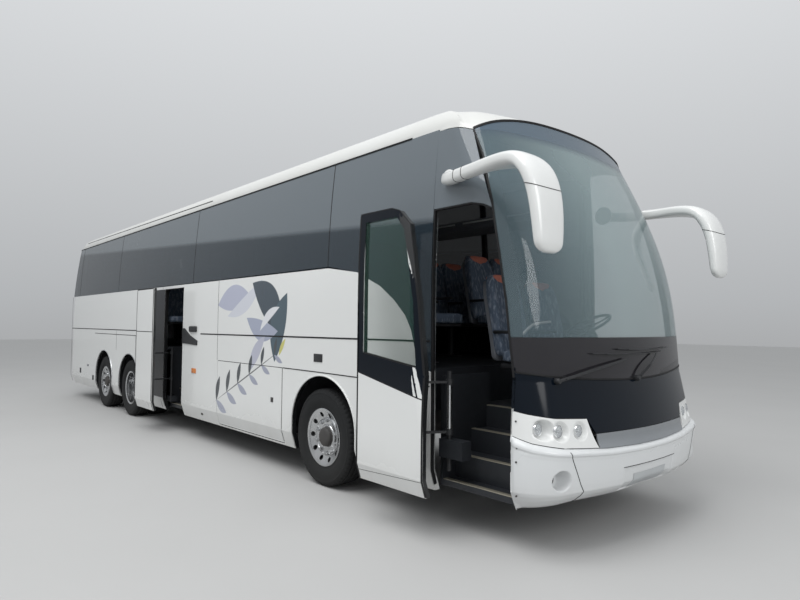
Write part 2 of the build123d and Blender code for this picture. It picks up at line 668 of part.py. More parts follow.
# Wheel housings: arched tubs over each wheel
HOUSING_T = 12
with BuildPart() as wheel_housings:
    for station, half, top in ARCHES:
        steered = station > DRIVE_AXLE / 2
        radius = half + (40 if steered else 12)
        centre_z = top - half * ARCH_HEAD + (0 if steered else 20)
        for side in (-1, 1):
            y_low, y_high = side_range(side, 600 if steered else 560, INNER_Y)
            with BuildSketch(Plane.XZ.offset(-y_high)):
                with BuildLine():
                    CenterArc((at(station), centre_z), radius + HOUSING_T, 0, 180)
                    Line((at(station - radius - HOUSING_T), centre_z), (at(station - radius), centre_z))
                    CenterArc((at(station), centre_z), radius, 0, 180)
                    Line((at(station + radius), centre_z), (at(station + radius + HOUSING_T), centre_z))
                make_face()
            extrude(amount=y_high - y_low)
save(wheel_housings.part, "wheel_housings")

# Engine, behind the tag axle
save(block((-10050, -8650), (-360, 360), (450, 1180)), "engine_block")

# Seats, as a side view across the seat's width. Points are from the seat's foot, facing forward
SEAT_CUSHION = [(0, 385), (430, 400), (450, 470), (400, 500), (40, 475)]
SEAT_BACK = [(-70, 370), (60, 470), (-60, 900), (-110, 1180), (-180, 1200), (-210, 1150), (-150, 700)]


def seat(station, y_centre, width, floor_z):
    """A seat or a pair of seats in one: back, cushion and foot."""
    y_range = (y_centre - width / 2, y_centre + width / 2)
    shapes = [
        side_prism([(station + x, floor_z + z) for x, z in outline], *y_range)
        for outline in (SEAT_BACK, SEAT_CUSHION)
    ]
    foot = block((station + 60, station + 300), (y_centre - width / 6, y_centre + width / 6), (floor_z, floor_z + 400))
    with BuildPart() as chair:
        add(shapes)
        add(foot)
    return chair.part


ROW_PITCH, ROWS, FIRST_ROW = 820, 13, 700
SEAT_Y, PAIR_W = 730, 880
row_stations = [FIRST_ROW - row * ROW_PITCH for row in range(ROWS)]
beside_well = [x for x in row_stations if WELL_X[0] - 480 < x < WELL_X[1] + 240]
pair = seat(0, 0, PAIR_W, FLOOR_Z)
pair_places = [(x, SEAT_Y) for x in row_stations]
pair_places += [(x, -SEAT_Y) for x in row_stations if x not in beside_well]
with BuildPart() as passenger_seats:
    add([pair.moved(Location((x, y, 0))) for x, y in pair_places])
save(passenger_seats.part, "passenger_seats")
with BuildPart() as front_seats:
    add([seat(1480, 640, 500, PLATFORM_Z), seat(1800, -380, 440, PLATFORM_Z)])
save(front_seats.part, "front_seats")

# Dashboard and steering wheel
DASH_SHAPE = [
    (2080, PLATFORM_Z), (2080, 1330), (2160, 1390), (2330, 1390), (2440, 1330), (2760, 1290), (2760, PLATFORM_Z),
]
SHELF_SHAPE = [(2300, PLATFORM_Z), (2300, 1300), (2340, 1330), (2440, 1330), (2760, 1290), (2760, PLATFORM_Z)]
dash_limit = nose_form(WALL + 2)
with BuildPart() as dashboard:
    add(side_prism(DASH_SHAPE, 150, INNER_Y - 30))
    add(side_prism(SHELF_SHAPE, -560, 150))
    add(dash_limit, mode=Mode.INTERSECT)
save(dashboard.part, "dashboard")
WHEEL_AT, WHEEL_TILT, RING_R = (1960, 640, 1690), 28, 225
with BuildPart() as steering_wheel:
    with Locations(Location((at(WHEEL_AT[0]), WHEEL_AT[1], WHEEL_AT[2]), (0, -WHEEL_TILT, 0))):
        Torus(RING_R, 15)
        Cylinder(60, 30)
        Box(2 * RING_R, 34, 12)
        Box(34, 2 * RING_R, 12)
        with Locations((0, 0, -250)):
            Cylinder(35, 500)
    add(dashboard.part, mode=Mode.SUBTRACT)
    add(block((1500, 2500), (0, 1200), (0, PLATFORM_Z)), mode=Mode.SUBTRACT)
save(steering_wheel.part, "steering_wheel")

# Mirrors: an arm that runs forward from the body's side, and a head that hangs from its end
ARM_R = 58
ARM_ROUTE = [(1790, 1300, 2950), (2100, 1400, 2975), (2560, 1470, 2960), (2740, 1476, 2880)]
# Columns: station, y, z, half length, half width
HEAD_SECTIONS = [
    (2700, 1474, 2960, 90, 66), (2760, 1476, 2860, 132, 96), (2810, 1478, 2700, 132, 108),
    (2865, 1480, 2420, 112, 102), (2890, 1480, 2190, 66, 62),
]
with BuildPart() as mirror_left:
    with BuildLine() as route:
        FilletPolyline(*[(at(x), y, z) for x, y, z in ARM_ROUTE], radius=90)
    with BuildSketch(Plane(origin=route.line @ 0, z_dir=route.line % 0)):
        Circle(ARM_R)
    sweep(path=route.line)
    sections = []
    for x, y, z, half_x, half_y in HEAD_SECTIONS:
        with BuildSketch(Plane.XY.offset(z)) as ring:
            with Locations((at(x), y)):
                Ellipse(half_x, half_y)
        sections.append(ring.sketch)
    loft(sections=sections)
    with Locations(Location((at(1790), 1271, 2950), (90, 0, 0))):
        Cylinder(ARM_R + 12, 64)
with BuildPart() as mirrors:
    add(mirror_left.part)
    mirror(about=Plane.XZ)
save(mirrors.part, "mirrors")


def nose_station(y, z):
    """The nose's station at a given y and height, read from the section table."""
    rows = NOSE_LOWER[:-1] + NOSE_UPPER
    below = [row for row in rows if row[0] <= z][-1]
    above = [row for row in rows if row[0] > z][0]
    share = (z - below[0]) / (above[0] - below[0])
    apex = below[1] + share * (above[1] - below[1])
    return apex - NOSE[2] + (NOSE[2] ** 2 - y**2) ** 0.5


# Wipers: an arm and a blade each, just ahead of the glass
# Columns: pivot y, pivot z, blade centre y, blade z
WIPERS = [(-720, 1180, -150, 1330), (120, 1190, 700, 1330)]
with BuildPart() as wipers:
    for pivot_y, pivot_z, tip_y, tip_z in WIPERS:
        foot = (at(nose_station(pivot_y, pivot_z)) + 44, pivot_y, pivot_z)
        tip = (at(nose_station(tip_y, tip_z)) + 40, tip_y, tip_z)
        ends = [(at(nose_station(y, tip_z)) + 34, y, tip_z) for y in (tip_y - 380, tip_y, tip_y + 380)]
        with BuildLine() as arm_line:
            Line(foot, tip)
        with BuildSketch(Plane(origin=foot, z_dir=arm_line.line % 0)):
            Rectangle(24, 14)
        sweep(path=arm_line.line)
        with Locations(Location((foot[0] - 12, foot[1], foot[2]), (0, 90, 0))):
            Cylinder(24, 40)
        with BuildLine() as blade_line:
            ThreePointArc(*ends)
        with BuildSketch(Plane(origin=ends[0], z_dir=blade_line.line % 0)):
            Rectangle(20, 20)
        sweep(path=blade_line.line)
save(wipers.part, "wipers")

# Wheels. Profiles are (radius, offset) pairs, turned about the axle line
TYRE_HALF = [(BEAD_R, 112), (302, 112), (330, 132), (400, 145), (450, 142), (488, 128), (TYRE_R, 105)]
RIM_T = 14
SPINDLE_R, HUB_BORE_R = 45, 45.05


def turned(profile, station, y_centre, outward):
    """A ring from a closed profile of (radius, offset) pairs, offsets counted outward from y_centre."""
    origin = (at(station), y_centre, WHEEL_Z)
    with BuildPart() as ring:
        with BuildSketch(Plane(origin=origin, x_dir=(1, 0, 0), z_dir=(0, 0, 1))):
            with BuildLine():
                Polyline([(radius, outward * offset) for radius, offset in profile], close=True)
            make_face()
        revolve(axis=Axis(origin, (0, 1, 0)))
    return ring.part


def both_ways(half):
    return half + [(radius, -offset) for radius, offset in half[::-1]]


BARREL = both_ways([(270, 126), (FLANGE_R, 126), (FLANGE_R, 113), (BEAD_R, 113)])


def disc(dish):
    """The wheel's disc: a flat centre at the dish offset, and a slant out to the barrel."""
    return [
        (272, dish - 30), (272, dish - 30 + RIM_T), (205, dish + RIM_T), (95, dish + RIM_T), (95, dish), (205, dish),
    ]


def hub(inner, outer):
    """The hub: a bored drum with a closed, chamfered cap."""
    return [
        (HUB_BORE_R, inner), (110, inner), (110, outer - 30), (80, outer), (0, outer), (0, outer - 20),
        (HUB_BORE_R, outer - 20),
    ]


# Columns: axle, station, dish of the outer disc, hub's inner and outer offsets, twin
WHEELS = [
    ("front", 0, 70, -60, 130, False),
    ("drive", DRIVE_AXLE, -80, -330, 40, True),
    ("tag", TAG_AXLE, 70, -60, 130, False),
]
for axle, station, dish, hub_in, hub_out, twin in WHEELS:
    for side, side_name in ((-1, "right"), (1, "left")):
        centres = [side * TRACK_Y] + ([side * (TRACK_Y - TWIN_PITCH)] if twin else [])
        with BuildPart() as tyres:
            add([turned(both_ways(TYRE_HALF), station, y, side) for y in centres])
        save(tyres.part, f"{axle}_tyre_{side_name}")
        dishes = [dish, -dish] if twin else [dish]
        rings = [turned(BARREL, station, y, side) for y in centres]
        rings += [turned(disc(depth), station, y, side) for y, depth in zip(centres, dishes)]
        rings.append(turned(hub(hub_in, hub_out), station, centres[0], side))
        with BuildPart() as wheel:
            add(rings)
            with Locations(Location((at(station), 0, WHEEL_Z), (90, 0, 0))):
                with PolarLocations(222, 10):
                    Cylinder(27, 4000, mode=Mode.SUBTRACT)
        save(wheel.part, f"{axle}_wheel_{side_name}")

# Axles and steering knuckles
KINGPIN_Y, KINGPIN_R = 870, 24
with BuildPart() as front_axle_beam:
    add(blocks(
        [((-45, 45), (-780, 780), (400, 470))]
        + [((-45, 45), (side * 780 - 30, side * 780 + 30), (400, 550)) for side in (-1, 1)]
        + [((-40, 40), (side * 845 - 65, side * 845 + 20), (460, 550)) for side in (-1, 1)]
    ))
    with Locations([(at(0), side * KINGPIN_Y, WHEEL_Z) for side in (-1, 1)]):
        Cylinder(52, 90)
        Cylinder(KINGPIN_R + RUN, 90, mode=Mode.SUBTRACT)
    with Locations([(at(0), side * RAIL_Y, 585) for side in (-1, 1)]):
        Cylinder(95, 230)
save(front_axle_beam.part, "front_axle_beam")
for side, name in ((-1, "knuckle_right"), (1, "knuckle_left")):
    y = side * KINGPIN_Y
    with BuildPart() as knuckle:
        with Locations((at(0), y, WHEEL_Z)):
            Cylinder(KINGPIN_R, 200)
        with Locations((at(0), y, WHEEL_Z + 77), (at(0), y, WHEEL_Z - 77)):
            Cylinder(50, 50)
        for z in (WHEEL_Z + 77, WHEEL_Z - 77):
            with Locations((at(0), y + side * 40, z)):
                Box(90, 80, 50)
        with Locations((at(0), y + side * 75, WHEEL_Z)):
            Box(90, 26, 204)
        with Locations(Location((at(0), y + side * 180, WHEEL_Z), (90, 0, 0))):
            Cylinder(SPINDLE_R, 210)
    save(knuckle.part, name)

# Columns: station, half length of the spindles, half length and radius of the tube, radius at the middle
REAR_AXLES = [(DRIVE_AXLE, 1100, 600, 80, 215), (TAG_AXLE, 1190, 960, 60, 75)]
with BuildPart() as rear_axles:
    for station, half, tube_half, tube_r, gear_r in REAR_AXLES:
        with Locations(Location((at(station), 0, WHEEL_Z), (90, 0, 0))):
            Cylinder(SPINDLE_R, 2 * half)
            Cylinder(tube_r, 2 * tube_half)
            Cylinder(gear_r, 190)
        with Locations([(at(station), side * RAIL_Y, 615) for side in (-1, 1)]):
            Cylinder(95, 210)
save(rear_axles.part, "rear_axles")
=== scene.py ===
import math
import bmesh
import bpy
import numpy as np
from mathutils import Matrix, Vector


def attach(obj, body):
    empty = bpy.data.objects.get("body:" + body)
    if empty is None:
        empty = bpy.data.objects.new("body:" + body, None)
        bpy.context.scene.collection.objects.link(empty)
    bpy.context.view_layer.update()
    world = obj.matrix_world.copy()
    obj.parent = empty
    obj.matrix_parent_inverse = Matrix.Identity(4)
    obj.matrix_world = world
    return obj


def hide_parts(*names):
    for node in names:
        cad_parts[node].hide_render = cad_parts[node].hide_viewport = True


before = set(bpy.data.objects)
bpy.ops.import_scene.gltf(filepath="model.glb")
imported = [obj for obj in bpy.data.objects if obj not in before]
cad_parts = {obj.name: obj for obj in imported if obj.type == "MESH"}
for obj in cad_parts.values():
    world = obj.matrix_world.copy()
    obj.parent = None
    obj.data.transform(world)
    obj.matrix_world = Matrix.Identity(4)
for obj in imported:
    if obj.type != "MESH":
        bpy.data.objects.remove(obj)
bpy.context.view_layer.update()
print("frame loaded:", len(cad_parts), "nodes")

# The coach's form in metres. Stations count from the front axle, and at() puts them in the frame
coach = dict(
    frontAxle=3.765, driveAxle=-6.24, tagAxle=-7.80, halfWidth=1.275, skirtZ=0.30, tuckZ=0.48, tuck=0.057,
    turnZ=1.90, sideR=12.355, windowZ=2.278, eaveZ=3.365, wheelZ=0.505, trackY=1.105, twinPitch=0.335)
nose = dict(way=1, radius=4.2, corner=0.33)
tail = dict(way=-1, radius=7.0, corner=0.20)
# Heights and stations of the nose and the tail on the middle line
noseRows = np.array([(0.30, 2.862), (0.48, 2.905), (0.76, 2.925), (1.27, 2.815), (1.6, 2.79), (1.9, 2.758),
                     (2.47, 2.62), (3.0, 2.385), (3.4, 2.205), (3.69, 2.073)])
tailRows = np.array([(0.30, 10.512), (0.48, 10.585), (0.76, 10.6), (1.27, 10.6), (1.6, 10.598), (1.9, 10.58),
                     (2.47, 10.5), (3.0, 10.39), (3.4, 10.29), (3.69, 10.205)])
# The swoosh where black meets white on the right and left side, as station and height
swoosh = np.array([(0.11, 2.278), (0.36, 2.235), (0.61, 2.19), (0.749, 2.131), (0.967, 2.04), (1.169, 1.905),
                   (1.32, 1.768), (1.401, 1.637), (1.464, 1.431), (1.58, 1.309), (1.648, 1.29)])
pillarLine = np.array([(2.5, 1.29), (2.432, 1.87), (2.36, 2.25), (2.262, 2.65), (2.12, 3.06), (2.0, 3.298)])


def at(x):
    # a station's place in the frame: the front axle's place plus the station
    return coach["frontAxle"] + x


def mix(a, b, t):
    # a at t = 0, b at t = 1, straight between
    return a + (b - a) * t


def smooth(t):
    # eases from 0 to 1: 3 t squared less 2 t cubed, with t kept between 0 and 1
    t = np.clip(t, 0, 1)
    return t * t * (3 - 2 * t)


def halfWidth(z):
    # tucked skirt, upright side, then an arc that leans in above turnZ
    z = np.asarray(z, float)
    tucked = coach["halfWidth"] - coach["tuck"] * np.clip((coach["tuckZ"] - z) / 0.18, 0, 1)
    rise = np.maximum(z - coach["turnZ"], 0)
    return np.where(z < coach["turnZ"], tucked, coach["halfWidth"] - coach["sideR"]
        + np.sqrt(coach["sideR"]**2 - rise**2))


def endStation(z, end):
    # straight between the low rows, one quartic through the rows from the belt up
    rows = noseRows if end is nose else tailRows
    upper = np.polyfit(rows[3:, 0], rows[3:, 1], 4)
    return np.where(z < 1.27, np.interp(z, rows[:4, 0], rows[:4, 1]), np.polyval(upper, z))


def planPoint(s, z, end=nose, out=0.0):
    # s runs along the plan from the middle: an arc of end radius, a corner arc, then straight down the side;
    # out moves the point along the plan's own outward direction
    s, z, out = np.broadcast_arrays(np.asarray(s, float), np.asarray(z, float), np.asarray(out, float))
    half, apex = halfWidth(z), endStation(z, end)
    r, c = end["radius"], end["corner"]
    yc = half - c
    xc = apex - r + np.sqrt((r - c)**2 - yc**2)
    phi = np.arcsin(yc / (r - c))
    a, front, corner = np.abs(s), r * phi, c * (np.pi / 2 - phi)
    turn = np.where(a < front, a / r, np.where(a < front + corner, phi + (a - front) / c, np.pi / 2))
    x = np.where(a < front, apex - r + r * np.cos(turn), np.where(a < front + corner, xc + c * np.cos(turn),
        xc - (a - front - corner)))
    y = np.where(a < front, r * np.sin(turn), np.where(a < front + corner, yc + c * np.sin(turn), half))
    x, y = x + out * np.cos(turn), y + out * np.sin(turn)
    return np.stack([at(end["way"] * x), np.sign(s) * y, z], -1)


# Shapes are (points, quads), worked out as whole arrays

def grid(p, wrapU=False, wrapV=False):
    # joins a grid of points p[u, v] into quads; wrap joins the last line to the first
    nu, nv = p.shape[:2]
    i = np.arange(nu * nv).reshape(nu, nv)
    i = np.vstack([i, i[:1]]) if wrapU else i
    i = np.hstack([i, i[:, :1]]) if wrapV else i
    quads = np.stack([i[:-1, :-1], i[1:, :-1], i[1:, 1:], i[:-1, 1:]], -1).reshape(-1, 4)
    return p.reshape(-1, 3), quads


def gridNormal(p, away=(0.0, 0.0, 1.8)):
    # unit normals of a grid from its two directions, turned away from a point inside
    n = np.cross(np.gradient(p, axis=0), np.gradient(p, axis=1))
    n /= np.maximum(np.linalg.norm(n, axis=-1, keepdims=True), 1e-12)
    return n * np.sign(np.sum(n * (p - np.array(away)), -1).mean())


def shell(p, thick, away=(0.0, 0.0, 1.8)):
    # the grid, the same grid moved in by its thickness, and a rim round both
    inner = p - thick * gridNormal(p, away)
    ring = np.concatenate([p, inner[:, ::-1]], 1)
    return [grid(ring, wrapV=True), grid(np.stack([p[0], inner[0]])), grid(np.stack([p[-1], inner[-1]]))]


def ruled(right, left, nu, nv):
    # rows run straight from a right-hand line to a left-hand line, both resampled by length
    a, b = resample(right, nv), resample(left, nv)
    u = np.linspace(0, 1, nu)[:, None, None]
    return mix(a[None], b[None], u)


def resample(points, n):
    # n points at even steps of the length along the line
    points = np.asarray(points, float)
    way = np.concatenate([[0], np.cumsum(np.linalg.norm(np.diff(points, axis=0), axis=1))])
    t = np.linspace(0, way[-1], n)
    return np.stack([np.interp(t, way, column) for column in points.T], -1)


def sweep(path, profile, up=None, closed=False, scale=None):
    # carries a closed profile (across, up) along a path; the ends shrink to poles
    path = np.asarray(path, float)
    along = np.gradient(path, axis=0) if not closed else np.roll(path, -1, 0) - np.roll(path, 1, 0)
    along /= np.linalg.norm(along, axis=1, keepdims=True)
    up = np.broadcast_to(np.array((0, 0, 1.0)) if up is None else np.asarray(up, float), path.shape)
    up = up - np.sum(up * along, 1, keepdims=True) * along
    up /= np.linalg.norm(up, axis=1, keepdims=True)
    across = np.cross(along, up)
    profile = np.asarray(profile, float)
    size = np.ones(len(path)) if scale is None else np.asarray(scale, float)
    ring = path[:, None] + size[:, None, None] * (across[:, None] * profile[None, :, :1] + up[:, None]
        * profile[None, :, 1:])
    if closed:
        return [grid(ring, True, True)]
    ends = [np.broadcast_to(path[k] + (across[k] * profile[:, :1].mean() + up[k] * profile[:, 1:].mean()),
        ring[k].shape) for k in (0, -1)]
    return [grid(np.concatenate([ends[0][None], ring, ends[1][None]]), wrapV=True)]


def roundProfile(width, height=None, n=16, power=2.0):
    # an ellipse, or a rounded rectangle when the power is over 2
    a = np.arange(n) / n * 2 * np.pi
    c, s = np.cos(a), np.sin(a)
    c, s = np.sign(c) * np.abs(c)**(2 / power), np.sign(s) * np.abs(s)**(2 / power)
    return np.stack([c * width / 2, s * (height or width) / 2], -1)


def bar(width, height, edge=0.15, n=4):
    # a rectangle with small round corners, standing on its base line
    r = min(width, height) * edge
    a = np.radians(np.linspace(0, 90, n))
    corners = [(width / 2 - r, height - r, 0), (-width / 2 + r, height - r, 90), (-width / 2 + r, r, 180),
        (width / 2 - r, r, 270)]
    return np.concatenate([np.stack([x + r * np.cos(a + np.radians(t)), y + r * np.sin(a + np.radians(t))],
        -1) for x, y, t in corners])


def lathe(profile, centre, n=96, axis="y", ripple=None):
    # turns a closed profile (radius, offset) about an axis through the centre;
    # ripple changes the radius round the turn
    profile, centre = np.asarray(profile, float), np.asarray(centre, float)
    a = (np.arange(n) / n * 2 * np.pi)[:, None]
    r = np.broadcast_to(profile[None, :, 0], (n, len(profile)))
    if ripple is not None:
        r = r + ripple(a, profile[None, :, 0], profile[None, :, 1])
    off = np.broadcast_to(profile[None, :, 1], r.shape)
    turned = {"y": (r * np.cos(a), off, r * np.sin(a)), "x": (off, r * np.cos(a), r * np.sin(a)),
        "z": (r * np.cos(a), r * np.sin(a), off)}[axis]
    return grid(np.stack(turned, -1) + centre, wrapU=True)


def roundBox(centre, size, r, turn=None, n=4):
    # eighths of a sphere pulled apart to the box's corners
    half = np.asarray(size, float) / 2
    r = min(r, half.min() * 0.999)
    lon = np.concatenate([np.radians(np.linspace(q * 90, q * 90 + 90, n)) for q in range(4)])
    sx, sy = np.repeat([1, -1, -1, 1], n), np.repeat([1, 1, -1, -1], n)
    lat = np.radians(np.concatenate([np.linspace(-90, 0, n), np.linspace(0, 90, n)]))[:, None]
    sz = np.repeat([-1, 1], n)[:, None]
    x = sx * (half[0] - r) + r * np.cos(lat) * np.cos(lon)
    y = sy * (half[1] - r) + r * np.cos(lat) * np.sin(lon)
    z = np.broadcast_to(sz * (half[2] - r) + r * np.sin(lat), x.shape)
    p = np.stack([x, y, z], -1)
    p = np.concatenate([p[:1] * (0, 0, 1), p, p[-1:] * (0, 0, 1)])
    if turn is not None:
        p = p @ np.asarray(turn, float).T
    return grid(p + np.asarray(centre, float), wrapV=True)


def turnY(degrees):
    # the turn about the y axis
    c, s = math.cos(math.radians(degrees)), math.sin(math.radians(degrees))
    return np.array([(c, 0, s), (0, 1, 0), (-s, 0, c)])


def turnZ(degrees):
    # the turn about the z axis
    c, s = math.cos(math.radians(degrees)), math.sin(math.radians(degrees))
    return np.array([(c, -s, 0), (s, c, 0), (0, 0, 1)])


def mirrored(shapes):
    # the same shapes on the other side: y changes its sign and the faces run the other way round
    return [(p * (1, -1, 1), q[:, ::-1]) for p, q in shapes]


def flat(shapes):
    # one plain list out of lists in lists
    out = []
    for s in shapes if isinstance(shapes, list) else [shapes]:
        out += flat(s) if isinstance(s, list) else [s]
    return out


def piece(name, shapes, finish, body="coach_body", replaces=(), sharp=32):
    # shapes is one list, or several lists that each take their own finish
    groups = shapes if isinstance(finish, list) else [shapes]
    points, quads, marks, count = [], [], [], 0
    for index, group in enumerate(groups):
        for p, q in flat(group):
            points.append(p)
            quads.append(q + count)
            marks.append(np.full(len(q), index))
            count += len(p)
    points, quads, marks = np.concatenate(points), np.concatenate(quads), np.concatenate(marks)
    mesh = bpy.data.meshes.new(name)
    mesh.vertices.add(len(points))
    mesh.vertices.foreach_set("co", points.astype(np.float32).ravel())
    mesh.loops.add(quads.size)
    mesh.loops.foreach_set("vertex_index", quads.astype(np.int32).ravel())
    mesh.polygons.add(len(quads))
    mesh.polygons.foreach_set("loop_start", np.arange(0, quads.size, 4, dtype=np.int32))
    mesh.polygons.foreach_set("material_index", marks.astype(np.int32))
    mesh.update(calc_edges=True)
    for m in finish if isinstance(finish, list) else [finish]:
        mesh.materials.append(m)
    work = bmesh.new()
    work.from_mesh(mesh)
    bmesh.ops.remove_doubles(work, verts=work.verts, dist=2e-5)
    bmesh.ops.dissolve_degenerate(work, edges=work.edges, dist=1e-6)
    bmesh.ops.recalc_face_normals(work, faces=work.faces)
    work.to_mesh(mesh)
    work.free()
    mesh.shade_smooth()
    mesh.set_sharp_from_angle(angle=math.radians(sharp))
    thing = bpy.data.objects.new(name, mesh)
    bpy.context.scene.collection.objects.link(thing)
    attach(thing, body)
    if replaces:
        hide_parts(*([replaces] if isinstance(replaces, str) else replaces))
    return thing


# Materials. Three effects are shared by node groups: wear, weave and leaf shapes

def calc(tree, how, a, b=None, clamp=False):
    # one math node; a value is a number or another node's output
    made = tree.nodes.new("ShaderNodeMath")
    made.operation, made.use_clamp = how, clamp
    for index, value in enumerate((a, b)):
        if isinstance(value, (int, float)):
            made.inputs[index].default_value = value
        elif value is not None:
            tree.links.new(value, made.inputs[index])
    return made.outputs[0]


def mixColour(tree, factor, a, b):
    # colour a at factor 0, colour b at factor 1
    made = tree.nodes.new("ShaderNodeMix")
    made.data_type = "RGBA"
    for index, value in ((0, factor), (6, a), (7, b)):
        if isinstance(value, (int, float)):
            made.inputs[index].default_value = value
        elif isinstance(value, tuple):
            made.inputs[index].default_value = (*value, 1)
        else:
            tree.links.new(value, made.inputs[index])
    return made.outputs[2]


def effectGroup(name, inputs, outputs):
    # an empty node group with named sockets
    group = bpy.data.node_groups.new(name, "ShaderNodeTree")
    for label, kind in inputs:
        group.interface.new_socket(label, in_out="INPUT", socket_type="NodeSocket" + kind)
    for label, kind in outputs:
        group.interface.new_socket(label, in_out="OUTPUT", socket_type="NodeSocket" + kind)
    return group, group.nodes.new("NodeGroupInput").outputs, group.nodes.new("NodeGroupOutput").inputs


def noise(tree, vector, scale, detail=3.0, stretch=None):
    # noise at a place; stretch scales the place axis by axis first
    if stretch:
        spread = tree.nodes.new("ShaderNodeMapping")
        spread.inputs["Scale"].default_value = stretch
        tree.links.new(vector, spread.inputs["Vector"])
        vector = spread.outputs[0]
    made = tree.nodes.new("ShaderNodeTexNoise")
    made.inputs["Detail"].default_value = detail
    tree.links.new(vector, made.inputs["Vector"])
    if isinstance(scale, (int, float)):
        made.inputs["Scale"].default_value = scale
    else:
        tree.links.new(scale, made.inputs["Scale"])
    return made.outputs[0]


def spanOf(tree, value, start, end, low, high):
    # goes from low to high while the value goes from start to end
    made = tree.nodes.new("ShaderNodeMapRange")
    tree.links.new(value, made.inputs[0])
    for index, number in enumerate((start, end, low, high)):
        made.inputs[index + 1].default_value = number
    return made.outputs[0]


def splitPlace(tree, place):
    # the place's x, y and z as three values
    split = tree.nodes.new("ShaderNodeSeparateXYZ")
    tree.links.new(place, split.inputs[0])
    return split.outputs


def buildWear():
    # colour wanders between Base and Second, dirt gathers below GrimeTop, and fine noise gives the grain
    group, i, o = effectGroup("wear", [
        ("Vector", "Vector"), ("Base", "Color"), ("Second", "Color"), ("Grime", "Color"), ("Scale", "Float"),
        ("Mottle", "Float"), ("GrimeTop", "Float"), ("GrimeAmount", "Float"), ("Roughness", "Float"),
        ("Spread", "Float"),
        ("Grain", "Float")], [("Color", "Color"), ("Roughness", "Float"), ("Height", "Float")])
    broad = noise(group, i["Vector"], i["Scale"], 4)
    tone = mixColour(group, calc(group, "MULTIPLY", broad, i["Mottle"], clamp=True), i["Base"], i["Second"])
    z = splitPlace(group, i["Vector"])[2]
    below = calc(group, "DIVIDE", calc(group, "SUBTRACT", i["GrimeTop"], z), i["GrimeTop"], clamp=True)
    streaks = noise(group, i["Vector"], 3, 7, (1.2, 1.2, 0.3))
    patches = calc(group, "MULTIPLY", streaks, 1.1)
    fade = calc(group, "MULTIPLY", below, calc(group, "ADD", below, 0.35))
    dirt = calc(group, "MULTIPLY", calc(group, "MULTIPLY", fade, patches), i["GrimeAmount"], clamp=True)
    group.links.new(mixColour(group, dirt, tone, i["Grime"]), o["Color"])
    shift = calc(group, "MULTIPLY", calc(group, "SUBTRACT", broad, 0.5), i["Spread"])
    rough = calc(group, "ADD", calc(group, "ADD", i["Roughness"], shift),
        calc(group, "MULTIPLY", dirt, 0.3), clamp=True)
    group.links.new(rough, o["Roughness"])
    fine = noise(group, i["Vector"], calc(group, "MULTIPLY", i["Scale"], 60), 2)
    group.links.new(calc(group, "MULTIPLY", fine, i["Grain"]), o["Height"])
    return group


def buildWeave():
    # two crossed waves give the threads, and a slower pattern gives the cloth its flecks
    group, i, o = effectGroup("weave", [("Vector", "Vector"), ("Thread", "Float"), ("Fleck", "Float")],
                              [("Height", "Float"), ("Flecks", "Float")])
    waves = []
    for axis in ("Y", "Z"):
        wave = group.nodes.new("ShaderNodeTexWave")
        wave.bands_direction = axis
        wave.inputs["Distortion"].default_value = 0.6
        group.links.new(i["Vector"], wave.inputs["Vector"])
        group.links.new(i["Thread"], wave.inputs["Scale"])
        waves.append(wave.outputs[1])
    group.links.new(calc(group, "MAXIMUM", *waves), o["Height"])
    flecks = noise(group, i["Vector"], i["Fleck"], 5, (1, 1, 0.35))
    group.links.new(calc(group, "MULTIPLY", calc(group, "SUBTRACT", flecks, 0.5), 7, clamp=True),
        o["Flecks"])
    return group


def buildLeaf():
    # a leaf in side view: the band |v + bend u u| < width/2 (1 - (2u/length)^2), u along it and v across
    group, i, o = effectGroup("leaf", [
        ("Vector", "Vector"), ("X", "Float"), ("Z", "Float"), ("Turn", "Float"), ("Length", "Float"),
        ("Width", "Float"),
        ("Bend", "Float"), ("Soft", "Float")], [("Mask", "Float")])
    x, y, z = splitPlace(group, i["Vector"])
    dx, dz = calc(group, "SUBTRACT", x, i["X"]), calc(group, "SUBTRACT", z, i["Z"])
    c, s = calc(group, "COSINE", i["Turn"]), calc(group, "SINE", i["Turn"])
    u = calc(group, "ADD", calc(group, "MULTIPLY", dx, c), calc(group, "MULTIPLY", dz, s))
    v = calc(group, "SUBTRACT", calc(group, "MULTIPLY", dz, c), calc(group, "MULTIPLY", dx, s))
    v = calc(group, "ADD", v, calc(group, "MULTIPLY", calc(group, "MULTIPLY", u, u), i["Bend"]))
    reach = calc(group, "DIVIDE", u, calc(group, "MULTIPLY", i["Length"], 0.5))
    edge = calc(group, "SUBTRACT", 1, calc(group, "MULTIPLY", reach, reach))
    inside = calc(group, "SUBTRACT", calc(group, "MULTIPLY", calc(group, "MULTIPLY", i["Width"], 0.5),
        edge), calc(group, "ABSOLUTE", v))
    group.links.new(calc(group, "DIVIDE", inside, i["Soft"], clamp=True), o["Mask"])
    return group


wearGroup, weaveGroup, leafGroup = buildWear(), buildWeave(), buildLeaf()


def effect(tree, group, vector, **values):
    # puts a group into a material and sets its inputs
    made = tree.nodes.new("ShaderNodeGroup")
    made.node_tree = group
    tree.links.new(vector, made.inputs["Vector"])
    for key, value in values.items():
        made.inputs[key].default_value = (*value, 1) if isinstance(value, tuple) else value
    return made


